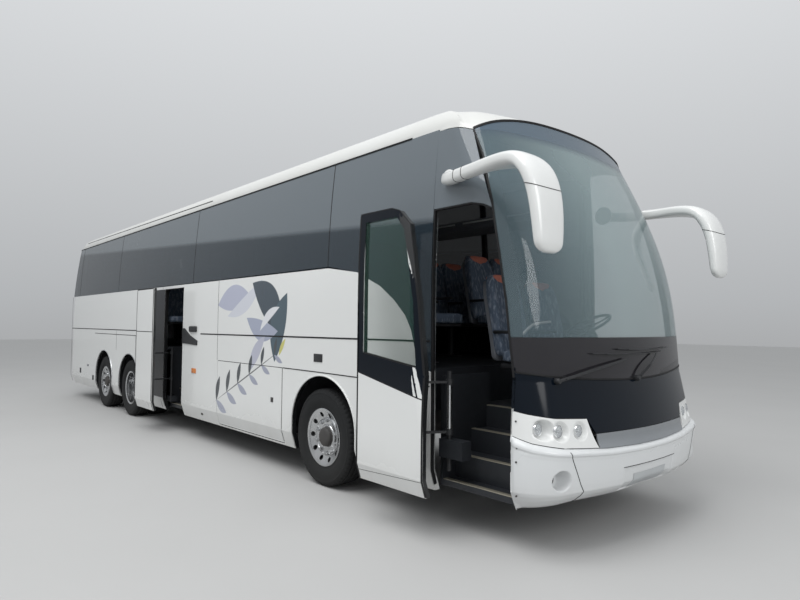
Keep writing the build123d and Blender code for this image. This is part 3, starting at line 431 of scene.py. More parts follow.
def finish(name, base, second=None, rough=0.4, spread=0.1, metal=0.0, coat=0.0, grime=0.0, grimeTop=1.1,
    scale=3.0,
           mottle=0.5, grain=0.3, bump=0.05, alpha=1.0, paint=None, weave=None,
           grimeTone=(0.11, 0.10, 0.09), shine=0.5):
    # one shader whose colour, roughness and grain come from the wear group;
    # paint and weave change the colour further
    made = bpy.data.materials.new(name)
    made.use_nodes = True
    tree = made.node_tree
    shader = tree.nodes["Principled BSDF"]
    place = tree.nodes.new("ShaderNodeTexCoord").outputs["Object"]
    second = second or tuple(v * 0.88 for v in base)
    worn = effect(tree, wearGroup, place, Base=base, Second=second, Grime=grimeTone, Scale=scale,
        Mottle=mottle,
                  GrimeTop=grimeTop, GrimeAmount=grime, Roughness=rough, Spread=spread, Grain=grain)
    colour = worn.outputs["Color"]
    if paint:
        colour = paint(tree, place, colour)
    height = worn.outputs["Height"]
    if weave:
        cloth = effect(tree, weaveGroup, place, Thread=weave["thread"], Fleck=weave["fleck"])
        colour = mixColour(tree, calc(tree, "MULTIPLY", cloth.outputs["Flecks"], weave["amount"]), colour,
            weave["tone"])
        height = cloth.outputs["Height"]
    tree.links.new(colour, shader.inputs["Base Color"])
    tree.links.new(worn.outputs["Roughness"], shader.inputs["Roughness"])
    raised = tree.nodes.new("ShaderNodeBump")
    raised.inputs["Strength"].default_value = bump
    raised.inputs["Distance"].default_value = 0.002
    tree.links.new(height, raised.inputs["Height"])
    tree.links.new(raised.outputs[0], shader.inputs["Normal"])
    shader.inputs["Metallic"].default_value = metal
    shader.inputs["Coat Weight"].default_value = coat
    shader.inputs["Coat Roughness"].default_value = 0.04
    shader.inputs["Specular IOR Level"].default_value = shine
    if isinstance(alpha, (int, float)):
        shader.inputs["Alpha"].default_value = alpha
    else:
        tree.links.new(alpha(tree, place), shader.inputs["Alpha"])
    return made


# The film on the right side: leaves of a generic plant. Columns: x, z, turn, length, width, bend, colour
film = [
    (-2.05, 2.02, 0.10, 0.95, 0.34, 0.20, (0.42, 0.44, 0.55)),
    (-1.72, 1.93, 0.45, 1.05, 0.20, -0.30, (0.60, 0.62, 0.68)),
    (-1.10, 1.93, -0.75, 1.00, 0.42, 0.45, (0.035, 0.055, 0.075)),
    (-0.90, 1.66, 1.25, 0.85, 0.34, 0.40, (0.05, 0.085, 0.11)),
    (-1.30, 1.60, -0.20, 0.80, 0.26, -0.50, (0.34, 0.37, 0.47)),
    (-1.12, 1.78, 0.55, 0.55, 0.12, 0.70, (0.70, 0.71, 0.74)),
    (-1.42, 1.33, 0.85, 0.62, 0.18, 0.35, (0.45, 0.46, 0.55)),
    (-0.80, 1.42, 0.95, 0.26, 0.07, 0.60, (0.55, 0.52, 0.16)),
]
# A twig below them: leaves in pairs along a thin stem, the upper and the lower ones in a tone of their own
twig = dict(foot=(-2.62, 0.60), step=(0.31, 0.135), count=6, turns=(1.30, -0.42), length=0.36, width=0.115,
    bend=0.6,
            tones=((0.050, 0.060, 0.068), (0.33, 0.35, 0.43)), stem=(0.07, 0.075, 0.08))


def leafRows():
    # the table, then the stem, then for each pair two leaves whose foot lies on the stem
    rows = list(film)
    (fx, fz), (dx, dz), count = twig["foot"], twig["step"], twig["count"]
    rows.append((fx + dx * count / 2, fz + dz * count / 2, math.atan2(dz, dx),
        math.hypot(dx, dz) * count * 1.1, 0.024, 0, twig["stem"]))
    for k in range(count):
        size = 1 - 0.08 * k
        reach = twig["length"] * size / 2
        for turn, tone in zip(twig["turns"], twig["tones"]):
            x, z = fx + dx * (k + 0.3) + reach * math.cos(turn), fz + dz * (k + 0.3) + reach * math.sin(turn)
            bend = math.copysign(twig["bend"], turn)
            rows.append((x, z, turn, 2 * reach, twig["width"] * size, bend, tone))
    return rows


def filmPaint(tree, place, colour):
    # lays the leaves over the colour one after another
    for x, z, turn, length, width, bend, tone in leafRows():
        leaf = effect(tree, leafGroup, place, X=at(x), Z=z, Turn=turn, Length=length, Width=width,
            Bend=bend, Soft=0.008)
        colour = mixColour(tree, leaf.outputs["Mask"], colour, tone)
    return colour


def darkInside(shift=0.0, front=9.0, tone=(0.012, 0.013, 0.014)):
    # black from 9 mm under the outer face inwards: depth = half width + shift - tuck - |y|;
    # ahead of front it stays white
    def made(tree, place, colour):
        x, y, z = splitPlace(tree, place)
        face = spanOf(tree, z, 0.30, coach["tuckZ"], coach["halfWidth"] + shift - coach["tuck"],
            coach["halfWidth"] + shift)
        depth = calc(tree, "SUBTRACT", face, calc(tree, "ABSOLUTE", y))
        mask = calc(tree, "MULTIPLY", spanOf(tree, depth, 0.009, 0.011, 0, 1),
            spanOf(tree, x, front, front + 0.01, 1, 0))
        return mixColour(tree, mask, colour, tone)
    return made


def filmAndInside(tree, place, colour):
    # the leaves outside, black inside
    return darkInside(front=at(1.60))(tree, place, filmPaint(tree, place, colour))


def skyOnGlass(tone):
    # side glass mirrors the sky above a line that falls towards the front: z + 0.057 x = 2.665
    def made(tree, place, colour):
        x, y, z = splitPlace(tree, place)
        height = calc(tree, "ADD", z, calc(tree, "MULTIPLY", calc(tree, "SUBTRACT", x, coach["frontAxle"]),
            0.057))
        return mixColour(tree, spanOf(tree, height, 2.64, 2.70, 0, 1), colour, tone)
    return made


def screenAlpha(tree, place):
    # glass: nearly closed below the foot line, where the painted shade lies, and in the tinted band on top,
    # half open between
    z = splitPlace(tree, place)[2]
    foot = spanOf(tree, z, screenBands["foot"] - 0.01, screenBands["foot"], screenBands["closed"], 0)
    top = spanOf(tree, z, *screenBands["top"], 0, screenBands["closed"] - 0.15)
    body = spanOf(tree, z, screenBands["foot"], 3.1, *screenBands["body"])
    return calc(tree, "MAXIMUM", calc(tree, "MAXIMUM", foot, top), body)


def screenPaint(tree, place, colour):
    # the same bands in colour: painted shade below the foot line and the tinted band on top; the painted sky
    # reflection is darker towards the door side
    x, y, z = splitPlace(tree, place)
    colour = mixColour(tree, spanOf(tree, y, -0.15, -1.05, 0, 0.80), colour, screenBands["doorTone"])
    colour = mixColour(tree, spanOf(tree, z, *screenBands["top"], 0, 1), colour, screenBands["topTone"])
    return mixColour(tree, spanOf(tree, z, screenBands["foot"] - 0.006, screenBands["foot"], 1, 0), colour,
        screenBands["footShade"])


# Windscreen bands: footShade is painted shade below the foot line, and doorTone darkens the painted sky
# reflection towards the door side
screenBands = dict(foot=1.600, top=(3.22, 3.30), closed=0.96, body=(0.40, 0.62),
    doorTone=(0.085, 0.125, 0.150),
                   topTone=(0.095, 0.135, 0.175), footShade=(0.020, 0.019, 0.022))
white, whiteWorn, roadDust = (0.74, 0.75, 0.74), (0.68, 0.69, 0.68), (0.30, 0.285, 0.26)
paintLook = dict(rough=0.24, spread=0.08, coat=0.5, grime=0.8, grimeTop=0.8, scale=1.2, grain=0.2,
    bump=0.02, grimeTone=roadDust)
glassLook = dict(rough=0.03, spread=0.01, scale=0.8, grain=0.02, bump=0.0)
lensLook = dict(rough=0.13, spread=0.04, coat=0.5, scale=30, grain=0.6, bump=0.2)
clothWeave = dict(thread=220.0, fleck=38.0, amount=0.75, tone=(0.30, 0.34, 0.41))
coverWeave = dict(thread=220.0, fleck=60.0, amount=0.25, tone=(0.72, 0.32, 0.24))
paint = finish("whitePaint", white, whiteWorn, **paintLook)
wallPaint = finish("wallPaint", white, whiteWorn, paint=darkInside(), **paintLook)
doorPaint = finish("doorPaint", white, whiteWorn, paint=darkInside(0.33), **paintLook)
filmOnPaint = finish("paintWithLeaves", white, whiteWorn, paint=filmAndInside, **paintLook)
bumperPaint = finish("bumperPaint", (0.67, 0.685, 0.69), (0.60, 0.62, 0.63), 0.28, 0.08, coat=0.4,
    grime=0.9, grimeTop=0.70,
                     scale=1.6, grain=0.2, bump=0.02, grimeTone=(0.33, 0.30, 0.275))
roofPaint = finish("roofPaint", (0.66, 0.67, 0.66), (0.56, 0.56, 0.53), 0.4, 0.15, coat=0.2, scale=1.5,
    mottle=0.8, grain=0.5)
roofPlastic = finish("roofPlastic", (0.64, 0.57, 0.40), (0.50, 0.45, 0.34), 0.5, 0.1, scale=2.5, mottle=0.8,
    grain=0.6, bump=0.1)
blackGloss = finish("blackGloss", (0.002, 0.0045, 0.009), (0.004, 0.0075, 0.013), 0.12, 0.03, grime=0.12,
    grimeTop=1.1,
                    scale=2, grain=0.05, bump=0.01, grimeTone=(0.05, 0.048, 0.044), shine=0.22)
sideTint = finish("sideGlass", (0.026, 0.038, 0.050), (0.036, 0.050, 0.062), alpha=0.84,
    paint=skyOnGlass((0.155, 0.180, 0.200)),
                  **glassLook)
driverGlass = finish("driverGlass", (0.05, 0.07, 0.07), alpha=0.12, **glassLook)
# windscreen glass: its pale blue-grey colour is partly tint and partly a painted reflection of the sky
screenTintAndReflection = finish("windscreenGlass", (0.27, 0.355, 0.365), (0.24, 0.32, 0.335), alpha=screenAlpha,
    paint=screenPaint, **glassLook)
doorTint = finish("doorGlass", (0.030, 0.085, 0.060), (0.025, 0.075, 0.055), alpha=0.20, shine=0.3,
    **glassLook)
frit = finish("glassBorder", (0.012, 0.014, 0.017), (0.018, 0.02, 0.024), 0.10, 0.04, coat=0.4, scale=6,
    grain=0.05, bump=0.01)
silver = finish("silverPaint", (0.34, 0.36, 0.38), (0.28, 0.30, 0.32), 0.34, metal=0.7, coat=0.3, grime=0.3,
    scale=4, bump=0.03)
bright = finish("polishedAluminium", (0.66, 0.67, 0.68), (0.48, 0.49, 0.50), 0.22, 0.16, metal=1.0,
    grime=0.6, grimeTop=0.95,
                scale=9, mottle=0.7, grain=0.4, grimeTone=(0.11, 0.095, 0.08))
chrome = finish("chrome", (0.80, 0.81, 0.82), (0.70, 0.71, 0.72), 0.09, 0.05, metal=1.0, scale=12,
    grain=0.2, bump=0.01)
steel = finish("darkSteel", (0.060, 0.060, 0.062), (0.035, 0.034, 0.034), 0.6, 0.2, metal=0.3, grime=0.8,
    grimeTop=1.2,
               scale=7, mottle=0.8, grain=1.0, bump=0.25, grimeTone=(0.13, 0.115, 0.10))
rubber = finish("tyreRubber", (0.012, 0.013, 0.014), (0.018, 0.019, 0.020), 0.78, 0.1, grime=0.30,
    grimeTop=1.1, scale=8,
                mottle=0.8, grain=1.0, bump=0.25, grimeTone=(0.055, 0.052, 0.048), shine=0.25)
gasket = finish("rubberSeal", (0.006, 0.006, 0.007), (0.011, 0.011, 0.012), 0.55, scale=14, grain=0.8,
    bump=0.1, shine=0.3)
plastic = finish("blackPlastic", (0.013, 0.014, 0.016), (0.024, 0.025, 0.028), 0.5, 0.15, grime=0.2,
    grimeTop=1.0, scale=10,
                 grain=1.0, bump=0.2, grimeTone=(0.07, 0.065, 0.06))
dashSkin = finish("dashSkin", (0.040, 0.043, 0.048), (0.030, 0.032, 0.036), 0.55, scale=12, grain=1.0,
    bump=0.35)
greyPlastic = finish("seatShell", (0.17, 0.18, 0.20), (0.13, 0.14, 0.155), 0.45, scale=9, grain=1.0,
    bump=0.15)
vinyl = finish("floorVinyl", (0.022, 0.025, 0.030), (0.014, 0.016, 0.020), 0.5, 0.2, scale=14, mottle=0.9,
    grain=1.0, bump=0.2)
edging = finish("stepNosing", (0.44, 0.41, 0.33), (0.30, 0.28, 0.23), 0.35, 0.15, metal=0.6, scale=12,
    mottle=0.8, grain=0.8, bump=0.1)
trimCloth = finish("headCover", (0.62, 0.20, 0.14), (0.52, 0.16, 0.11), 0.8, 0.05, scale=10, bump=0.3,
    weave=coverWeave)
cloth = finish("seatCloth", (0.100, 0.135, 0.190), (0.08, 0.105, 0.15), 0.85, 0.05, scale=10, bump=0.3,
    weave=clothWeave)
lampGlass = finish("lampGlass", (0.80, 0.84, 0.86), (0.74, 0.78, 0.80), 0.05, 0.02, scale=10, grain=0.2,
    bump=0.02, alpha=0.16)
lampBody = finish("lampReflector", (0.62, 0.63, 0.64), (0.46, 0.47, 0.48), 0.16, 0.08, metal=1.0, scale=30,
    grain=0.5, bump=0.1)
redGlass = finish("redLens", (0.42, 0.012, 0.010), (0.34, 0.01, 0.008), **lensLook)
amberGlass = finish("amberLens", (0.62, 0.19, 0.02), (0.5, 0.14, 0.015), **lensLook)
plateWhite = finish("barePlate", (0.46, 0.48, 0.49), (0.42, 0.44, 0.45), 0.4, scale=8, grain=0.4)
mirrorFace = finish("mirrorFace", (0.75, 0.78, 0.80), (0.7, 0.73, 0.75), 0.03, 0.01, metal=1.0, scale=5,
    grain=0.05, bump=0.005)
ceiling = finish("ceilingLining", (0.30, 0.31, 0.31), (0.25, 0.26, 0.26), 0.8, scale=12, grain=1.0, bump=0.2)
print("materials ready")


def dress(material, *names):
    # gives CAD nodes a finish
    for name in names:
        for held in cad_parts[name].material_slots:
            held.material = material


dress(wallPaint, "left_side_wall", "driver_side_panel", "luggage_flap_left_front",
    "luggage_flap_left_middle", "luggage_flap_left_rear")
dress(doorPaint, "front_door", "mid_door")
dress(filmOnPaint, "right_side_wall", "luggage_flap_right")
dress(steel, "chassis_frame", "front_axle_beam", "knuckle_left", "knuckle_right", "rear_axles",
    "engine_block")
dress(plastic, "wheel_housings", "luggage_floor", "window_posts", "front_door_arms", "mid_door_arms")
dress(vinyl, "saloon_floor", "front_steps", "mid_steps")


# The body's skin. Every panel is a grid of (station, height) pairs laid on the body's outer form

def wayAt(x, z, end=nose):
    # the way along the plan at which the form reaches station x: straight side, corner, then the front arc
    x, z = np.broadcast_arrays(np.asarray(x, float) * end["way"], np.asarray(z, float))
    half, apex = halfWidth(z), endStation(z, end)
    r, c = end["radius"], end["corner"]
    yc = half - c
    xc = apex - r + np.sqrt((r - c)**2 - yc**2)
    phi = np.arcsin(yc / (r - c))
    turn = np.arccos(np.clip((x - xc) / c, 0, 1))
    ahead = r * np.arccos(np.clip((x - apex + r) / r, -1, 1))
    inCorner = r * phi + c * (np.maximum(turn, phi) - phi)
    straight = r * phi + c * (np.pi / 2 - phi) + xc - x
    return np.where(x <= xc, straight, np.where(turn >= phi, inCorner, ahead))


def skin(x, z, side=-1, out=0.0, end=nose):
    # the body's form at a station and a height, moved outward
    return planPoint(side * wayAt(x, z, end), z, end, out)


def sideFace(side):
    return lambda x, z, out: skin(x, z, side, out)


def onNose(s, z, out):
    return planPoint(s, z, nose, out)


def onTail(s, z, out):
    return planPoint(s, z, tail, out)


def bead(place, a, b, width, height, sink=0.004, edge=0.15, shift=0.0):
    # a bar that stands on a face: its foot line lies sink under place(a, b),
    # its height runs along the way outward
    path = place(a, b, -sink)
    return sweep(path + shift, bar(width, height, edge), place(a, b, 1.0) - path)


def onLine(points, place, width, height, n=50, sink=0.002, shift=0.0):
    # a bead of this height over the face, along a line of points
    a, b = resample(points, n).T
    return bead(place, a, b, width, height + sink, sink, shift=shift)


def pillarX(z):
    # the station of the windscreen's side edge
    return np.interp(z, pillarLine[:, 1], pillarLine[:, 0])


def glassFoot(u):
    # the windscreen's lower edge: a parabola over the share u of the half width
    return 1.262 + 0.085 * np.abs(u)**2


def glassHead(u):
    # its upper edge: flat in the middle, falling with the fourth power of u
    return 3.298 + 0.152 * (1 - np.abs(u)**4)


def frontGrid(us, low, high, nv):
    # columns at u from -1 to 1 between the pillars; low and high give the heights at each u
    us = np.asarray(us, float)[:, None]
    z = mix(low(us), high(us), np.linspace(0, 1, nv)[None, :])
    return planPoint(us * wayAt(pillarX(z), z), z, nose)


def strip(name, points, finishOf, side, width, height, n=60):
    # a thin bar along a line of (station, height) points on the side
    return piece(name, onLine(points, sideFace(side), width, height, n), finishOf)


def sideBoard(low, high, nu, nv, out=0.0):
    # a panel of the right side, ruled between two lines of (station, height) points
    board = ruled(low, high, nv, nu).transpose(1, 0, 2)
    return skin(board[..., 0], board[..., 1], -1, out)


# Side windows: upright columns between the belt line or swoosh and the eave
windows = dict(joints=[-9.85, -7.0, -3.4, 0.10], jointW=0.008, thick=0.008, front=1.648, rear=-10.385,
    lean=0.205)


def windowLow(x):
    # the glass's lower edge: level, then down along the swoosh
    return np.interp(x, np.concatenate([[-20], swoosh[:, 0]]),
        np.concatenate([[coach["windowZ"]], swoosh[:, 1]]))


def pane(start, end, side):
    # columns between two stations; the last ones lean back with the tail
    xs = np.linspace(start, end, max(8, int((end - start) * 9)))
    if end > 0.2:
        xs = np.unique(np.concatenate([xs, swoosh[:, 0][swoosh[:, 0] > start],
            np.linspace(1.38, 1.648, 16)]))
    z = mix(windowLow(xs)[:, None], coach["eaveZ"], np.linspace(0, 1, 24)[None, :])
    share = (z - coach["windowZ"]) / (coach["eaveZ"] - coach["windowZ"])
    slant = windows["lean"] * share * np.clip(1 - (xs[:, None] - windows["rear"]) / 0.5, 0, 1)
    return shell(skin(xs[:, None] + slant, z, side), windows["thick"])


edges = [windows["rear"], *windows["joints"], windows["front"]]
panes, seals = [], []
for side in (-1, 1):
    for start, end in zip(edges[:-1], edges[1:]):
        panes += pane(start + windows["jointW"] / 2, end - windows["jointW"] / 2, side)
    for x in windows["joints"]:
        seals += bead(sideFace(side), x, np.linspace(windowLow(x), coach["eaveZ"], 24), 0.012, 0.007, 0.006)
    seals += bead(sideFace(side), np.linspace(-10.17, 1.30, 160), 3.366, 0.016, 0.010)
piece("side_window_panes", panes, sideTint, replaces="side_windows")
piece("pane_seals", seals, gasket)

# Quarter panes over the front door and beside the driver
roofEdge = np.array([(1.35, 3.363), (1.648, 3.358), (1.76, 3.353), (1.86, 3.34), (1.93, 3.322),
    (2.0, 3.298)])
doorHead = [(1.652, 2.665), (2.08, 2.665), (2.20, 2.635), (2.268, 2.602)]
overDoor = shell(sideBoard(doorHead, [(x, z - 0.008) for x, z in roofEdge[1:]], 30, 24), 0.008)
zs = np.linspace(1.30, 3.29, 60)
rows = np.linspace(0, 1, 20)[None, :]
leftX = mix(1.652, pillarX(zs)[:, None] - 0.004, rows)
leftZ = np.broadcast_to(zs[:, None], leftX.shape)
leftZ = leftZ + (zs[:, None] - 1.30) / 1.99 * (np.interp(leftX, roofEdge[:, 0],
    roofEdge[:, 1]) - 0.008 - 3.29)
besideDriver = shell(skin(leftX, leftZ, 1), 0.008)
piece("quarter_panes", [overDoor, besideDriver], [sideTint, driverGlass], replaces="quarter_windows")

# Windscreen: one bent sheet between the pillars, with a printed border inside its edges
screen = frontGrid(np.linspace(-1, 1, 121), glassFoot, glassHead, 90)
piece("windscreen_pane", shell(screen, 0.008), screenTintAndReflection, replaces="windscreen")


def border(inner, outer, nu=160):
    # a band inside the glass between two closed loops in (u, v)
    a, b = resample(np.vstack([outer, outer[:1]]), nu)[:-1], resample(np.vstack([inner, inner[:1]]), nu)[:-1]
    uv = mix(a[:, None], b[:, None], np.linspace(0, 1, 4)[None, :, None])
    z = mix(glassFoot(uv[..., 0]), glassHead(uv[..., 0]), uv[..., 1])
    return planPoint(uv[..., 0] * wayAt(pillarX(z), z), z, nose, -0.010)


def loop(u, low, high, n=40):
    # a rectangle in (u, v), along its foot and back along its head
    t = np.linspace(-u, u, n)
    return np.concatenate([np.stack([t, np.full(n, low)], -1), np.stack([t[::-1], np.full(n, high)], -1)])


band = border(loop(0.925, 0.105, 0.972), loop(0.999, 0.002, 0.998))
band = np.concatenate([band, band[:1]])
piece("windscreen_border", shell(band, 0.002), frit)
t = np.linspace(-1, 1, 121)
z = glassFoot(t) - 0.004
lowSeal = bead(onNose, t * wayAt(pillarX(z), z), z, 0.014, 0.008)
z = glassHead(t) + 0.006
path = planPoint(t * wayAt(pillarX(glassHead(t)), glassHead(t)), z, nose, -0.004)
highSeal = sweep(path, bar(0.022, 0.010), planPoint(t * 1.4, z, nose, 1.0) - planPoint(t * 1.4, z, nose,
    0.0))
z = np.linspace(1.30, 3.29, 60)
pillarSeals = []
for side in (-1, 1):
    pillarSeals += bead(sideFace(side), pillarX(z), z, 0.016, 0.007, 0.003)
piece("windscreen_seals", [lowSeal, highSeal, pillarSeals], gasket)
print("glass ready")

# Nose below the glass: black panel, lamp panels, trim and bumper meet along these lines in (way, height)
panelLow = np.array([(0, 0.872), (0.700, 0.876), (0.772, 0.992), (1.080, 1.010), (1.280, 1.040),
    (1.392, 1.060), (1.75, 1.080)])
bumperTop = np.array([(0, 0.756), (0.188, 0.756), (0.60, 0.766), (0.808, 0.780), (1.048, 0.798),
    (1.282, 0.834), (1.43, 0.878), (1.75, 0.890)])
lampInner = np.array([(0.696, 0.774), (0.772, 0.992)])


def noseEdge(z):
    # the way along the plan at which the nose panels end
    return wayAt(2.500, np.asarray(z, float))


def noseBoard(ss, low, high, nv):
    # columns at ways ss, clipped to the nose's side edge
    ss = np.asarray(ss, float)[:, None]
    z = mix(low(np.abs(ss)), high(np.abs(ss)), np.linspace(0, 1, nv)[None, :])
    return planPoint(np.sign(ss) * np.minimum(np.abs(ss), noseEdge(z)), z, nose)


def line(table, shift=0.0):
    # the height at way s, the same on both sides
    return lambda s: np.interp(np.abs(s), table[:, 0], table[:, 1]) + shift


screenEdge = float(noseEdge(1.30))
ways = np.unique(np.concatenate([np.linspace(-1.62, 1.62, 120), panelLow[:, 0], -panelLow[:, 0],
    [0.70, -0.70]]))
ways = np.clip(ways, -1.62, 1.62)
panel = noseBoard(ways, line(panelLow, 0.004), lambda s: glassFoot(s / screenEdge) - 0.014, 30)
piece("nose_panel", shell(panel, 0.012), blackGloss, replaces="front_panel")

# Lamp panels: three round hollows each, with an upright floor that faces forward. Columns: y, z, radius
lamps = dict(row=[(1.153, 0.930, 0.050), (1.037, 0.916, 0.050), (0.858, 0.910, 0.047)], collar=0.030,
    drop=0.012)


def lampFloor(y, z, r):
    # the station of the hollow's floor: a little behind the outer rim's lowest point
    ys = y + np.array([-1, 0, 1]) * r
    p = planPoint(np.linspace(0.5, 1.62, 400), z, nose)
    return np.interp(ys[2], p[:, 1], p[:, 0]) - lamps["drop"]


def sinkLamps(p, bowls):
    # points inside a collar slide back to the hollow's floor, easing in across the collar
    for y, z, r in bowls:
        floorX = lampFloor(y, z, r)
        d = np.sqrt((np.abs(p[..., 1]) - y)**2 + (p[..., 2] - z)**2)
        share = smooth((r + lamps["collar"] - d) / lamps["collar"])
        p[..., 0] = mix(p[..., 0], np.minimum(p[..., 0], floorX), share)
    return p


def lampBoard(side):
    # from the slanting inner edge to the nose's side edge, with the hollows sunk in
    s = np.linspace(0, 1, 300)[:, None]
    v = np.linspace(0, 1, 84)[None, :]
    startS = mix(lampInner[0, 0], lampInner[1, 0], v)
    way = mix(startS, 1.70, s)
    low, high = line(bumperTop, 0.004)(way), line(panelLow, -0.002)(way)
    z = mix(low, high, v)
    way = np.minimum(way, noseEdge(z))
    return sinkLamps(planPoint(side * way, z, nose), lamps["row"])


boards = []
for side in (-1, 1):
    boards += shell(lampBoard(side), 0.010, (4.5, 0, 0.9))
piece("lamp_boards", boards, paint, replaces="lamp_panels", sharp=40)
bowlParts, lensParts, ringParts = [], [], []
for side in (-1, 1):
    for y, z, r in lamps["row"]:
        x = float(lampFloor(y, z, r))
        reflector = [(0.0, 0.001), (r * 0.35, 0.002), (r * 0.62, 0.006), (r * 0.80, 0.010),
            (r * 0.80, 0.0005), (0.0, 0.0005)]
        ring = [(r * 0.80, 0.0), (r * 0.84, 0.012), (r * 0.94, 0.013), (r * 1.0, 0.006), (r * 1.0, -0.002),
            (r * 0.80, -0.002)]
        dome = [(0.0, 0.026), (r * 0.3, 0.0245), (r * 0.6, 0.020), (r * 0.82, 0.011), (r * 0.82, 0.009),
            (r * 0.55, 0.017), (r * 0.28, 0.022), (0.0, 0.0235)]
        bulb = [(0.0, 0.014), (0.006, 0.012), (0.009, 0.006), (0.009, 0.001), (0.0, 0.001)]
        bowlParts += [lathe(reflector, (x, side * y, z), 48, "x"), lathe(bulb, (x, side * y, z), 24, "x")]
        ringParts.append(lathe(ring, (x, side * y, z), 48, "x"))
        lensParts.append(lathe(dome, (x, side * y, z), 48, "x"))
piece("headlamp_reflectors", [bowlParts, ringParts], [lampBody, chrome], replaces="headlamps")
piece("headlamp_glasses", lensParts, lampGlass)

# Silver trim between the lamp panels
ss = np.linspace(-1, 1, 90)[:, None]
v = np.linspace(0, 1, 16)[None, :]
reach = mix(0.692, 0.700, v)
way = ss * reach
z = mix(line(bumperTop, 0.002)(way), line(panelLow, 0.0)(way), v)
hollow = -0.006 * np.sin(np.pi * v)
piece("nose_trim", shell(planPoint(way, z, nose, hollow + 0.004), 0.010), silver, replaces="silver_trim")

# Bumper. Columns of the section: height share from foot to top line, outward offset
bumper = dict(section=[(0.0, -0.055), (0.04, -0.030), (0.14, 0.004), (0.22, 0.020), (0.35, 0.024),
    (0.60, 0.026), (0.80, 0.026),
                       (0.865, 0.028), (0.895, 0.036), (0.93, 0.036), (0.965, 0.028), (0.985, 0.014),
                       (1.0, -0.004)],
              fogY=1.068, fogZ=0.574, fogWay=1.215, fogR=0.078, fogEdge=0.028)
bumperFoot = np.array([(0, 0.405), (0.40, 0.388), (0.89, 0.388), (1.10, 0.372), (1.35, 0.344),
    (1.70, 0.330)])


def bumperGrid(nu, nv):
    # the section swept round the nose, with the plate's recess and a round hollow for each fog lamp
    ss = np.linspace(-1, 1, nu)[:, None]
    v = np.linspace(0, 1, nv)[None, :]
    share, offset = np.array(bumper["section"]).T
    way = ss * 1.70
    z = mix(line(bumperFoot)(way), line(bumperTop, -0.002)(way), v)
    way = np.sign(way) * np.minimum(np.abs(way), noseEdge(z))
    soft = np.interp(v, share, offset) * smooth((noseEdge(z) - np.abs(way)) / 0.06 + 0.35)
    p = planPoint(way, z, nose, soft)
    inPlate = smooth((0.40 - np.abs(way + 0.02)) / 0.03) * smooth((z - 0.395) / 0.02) * smooth((0.600 - z)
        / 0.012)
    p[..., 0] -= 0.022 * inPlate
    d = np.sqrt((np.abs(p[..., 1]) - bumper["fogY"])**2 + (z - bumper["fogZ"])**2)
    share = smooth((bumper["fogR"] - d) / bumper["fogEdge"])
    p[..., 0] = mix(p[..., 0], np.minimum(p[..., 0], fogFloor), share)
    return p


fogFloor = float(planPoint(bumper["fogWay"], bumper["fogZ"], nose, 0.024)[0]) - 0.012
bumperSkin = bumperGrid(700, 110)
piece("bumper_skin", shell(bumperSkin, 0.006, (4.5, 0, 0.6)), bumperPaint, replaces="front_bumper",
    sharp=50)
fogParts, fogGlass = [], []
for side in (-1, 1):
    centre = (fogFloor, side * 1.096, bumper["fogZ"])
    fogParts.append(lathe([(0.0, 0.002), (0.024, 0.004), (0.036, 0.010), (0.040, 0.008), (0.040, -0.004),
        (0.0, -0.004)], centre, 40, "x"))
    fogGlass.append(lathe([(0.0, 0.013), (0.018, 0.012), (0.032, 0.009), (0.032, 0.007), (0.0, 0.010)],
        centre, 40, "x"))
piece("fog_lamps", fogParts, plastic)
piece("fog_lamp_glasses", fogGlass, lampGlass)


def onBumper(s, z, out=0.0):
    # a point on the bumper's face
    share, offset = np.array(bumper["section"]).T
    low, high = line(bumperFoot)(s), line(bumperTop, -0.002)(s)
    return planPoint(s, z, nose, np.interp((z - low) / (high - low), share, offset) + out)


seams, marks = [], []
for side in (-1, 1):
    seams += onLine([(side * 1.020, 0.775), (side * 0.900, 0.53), (side * 0.864, 0.476),
        (side * 0.888, 0.392)], onBumper, 0.006, 0.0015)
    for s, z, low, high in ((1.372, 0.985, 0, 0.005), (1.386, 0.800, 0.027, 0.033),
            (1.395, 0.700, 0.027, 0.033), (1.375, 0.455, 0.027, 0.033)):
        p, q = onNose(side * s, z, low), onNose(side * s, z, high)
        marks += sweep(np.stack([p - 0.3 * (q - p), p, q]), roundProfile(0.014, n=12), (0, 0, 1))
seams += onLine([(s, 0.601) for s in np.linspace(-0.43, 0.40, 12)], onBumper, 0.005, 0.001)
piece("bumper_seams", seams, gasket)
piece("bumper_screws", marks, steel)
s = np.linspace(-0.258, 0.262, 30)[:, None]
z = np.linspace(0.412, 0.528, 10)[None, :]
plate = onBumper(s, np.broadcast_to(z, (30, 10)), 0.0)
plate[..., 0] -= 0.018
piece("bare_number_plate", shell(plate, 0.003), plateWhite)
print("nose ready")

# Roof: eave and crown arcs along the body, rounded down at both ends
roof = dict(crown=3.665, shoulderY=0.952, edgeY=1.178, eaveR=0.226, eaveZ=3.372)
crownR = (roof["shoulderY"]**2 + 0.067**2) / (2 * 0.067)


def arcHeight(y):
    # height of the cross-section: crown arc in the middle, eave arc at the edge
    y = np.abs(y)
    crown = roof["crown"] - crownR + np.sqrt(crownR**2 - np.minimum(y, 1.3)**2)
    eave = roof["eaveZ"] + np.sqrt(np.maximum(roof["eaveR"]**2 - np.maximum(y - roof["shoulderY"], 0)**2, 0))
    return np.where(y < roof["shoulderY"], crown, eave)


def softMin(a, b, k=0.018):
    # the smaller of two values, rounded where they cross
    return -k * np.logaddexp(-a / k, -b / k)


def roofHeight(x, y):
    # station x; the side view falls by a parabola at the nose and at the tail
    ahead, behind = np.maximum(x - 1.15, 0), np.maximum(-9.9 - x, 0)
    run = roof["crown"] + 0.0626 * ahead - 0.2572 * ahead**2
    run = np.where(behind > 0, roof["crown"] - 0.045 * behind - 1.22 * behind**2, run)
    return softMin(arcHeight(y), run)


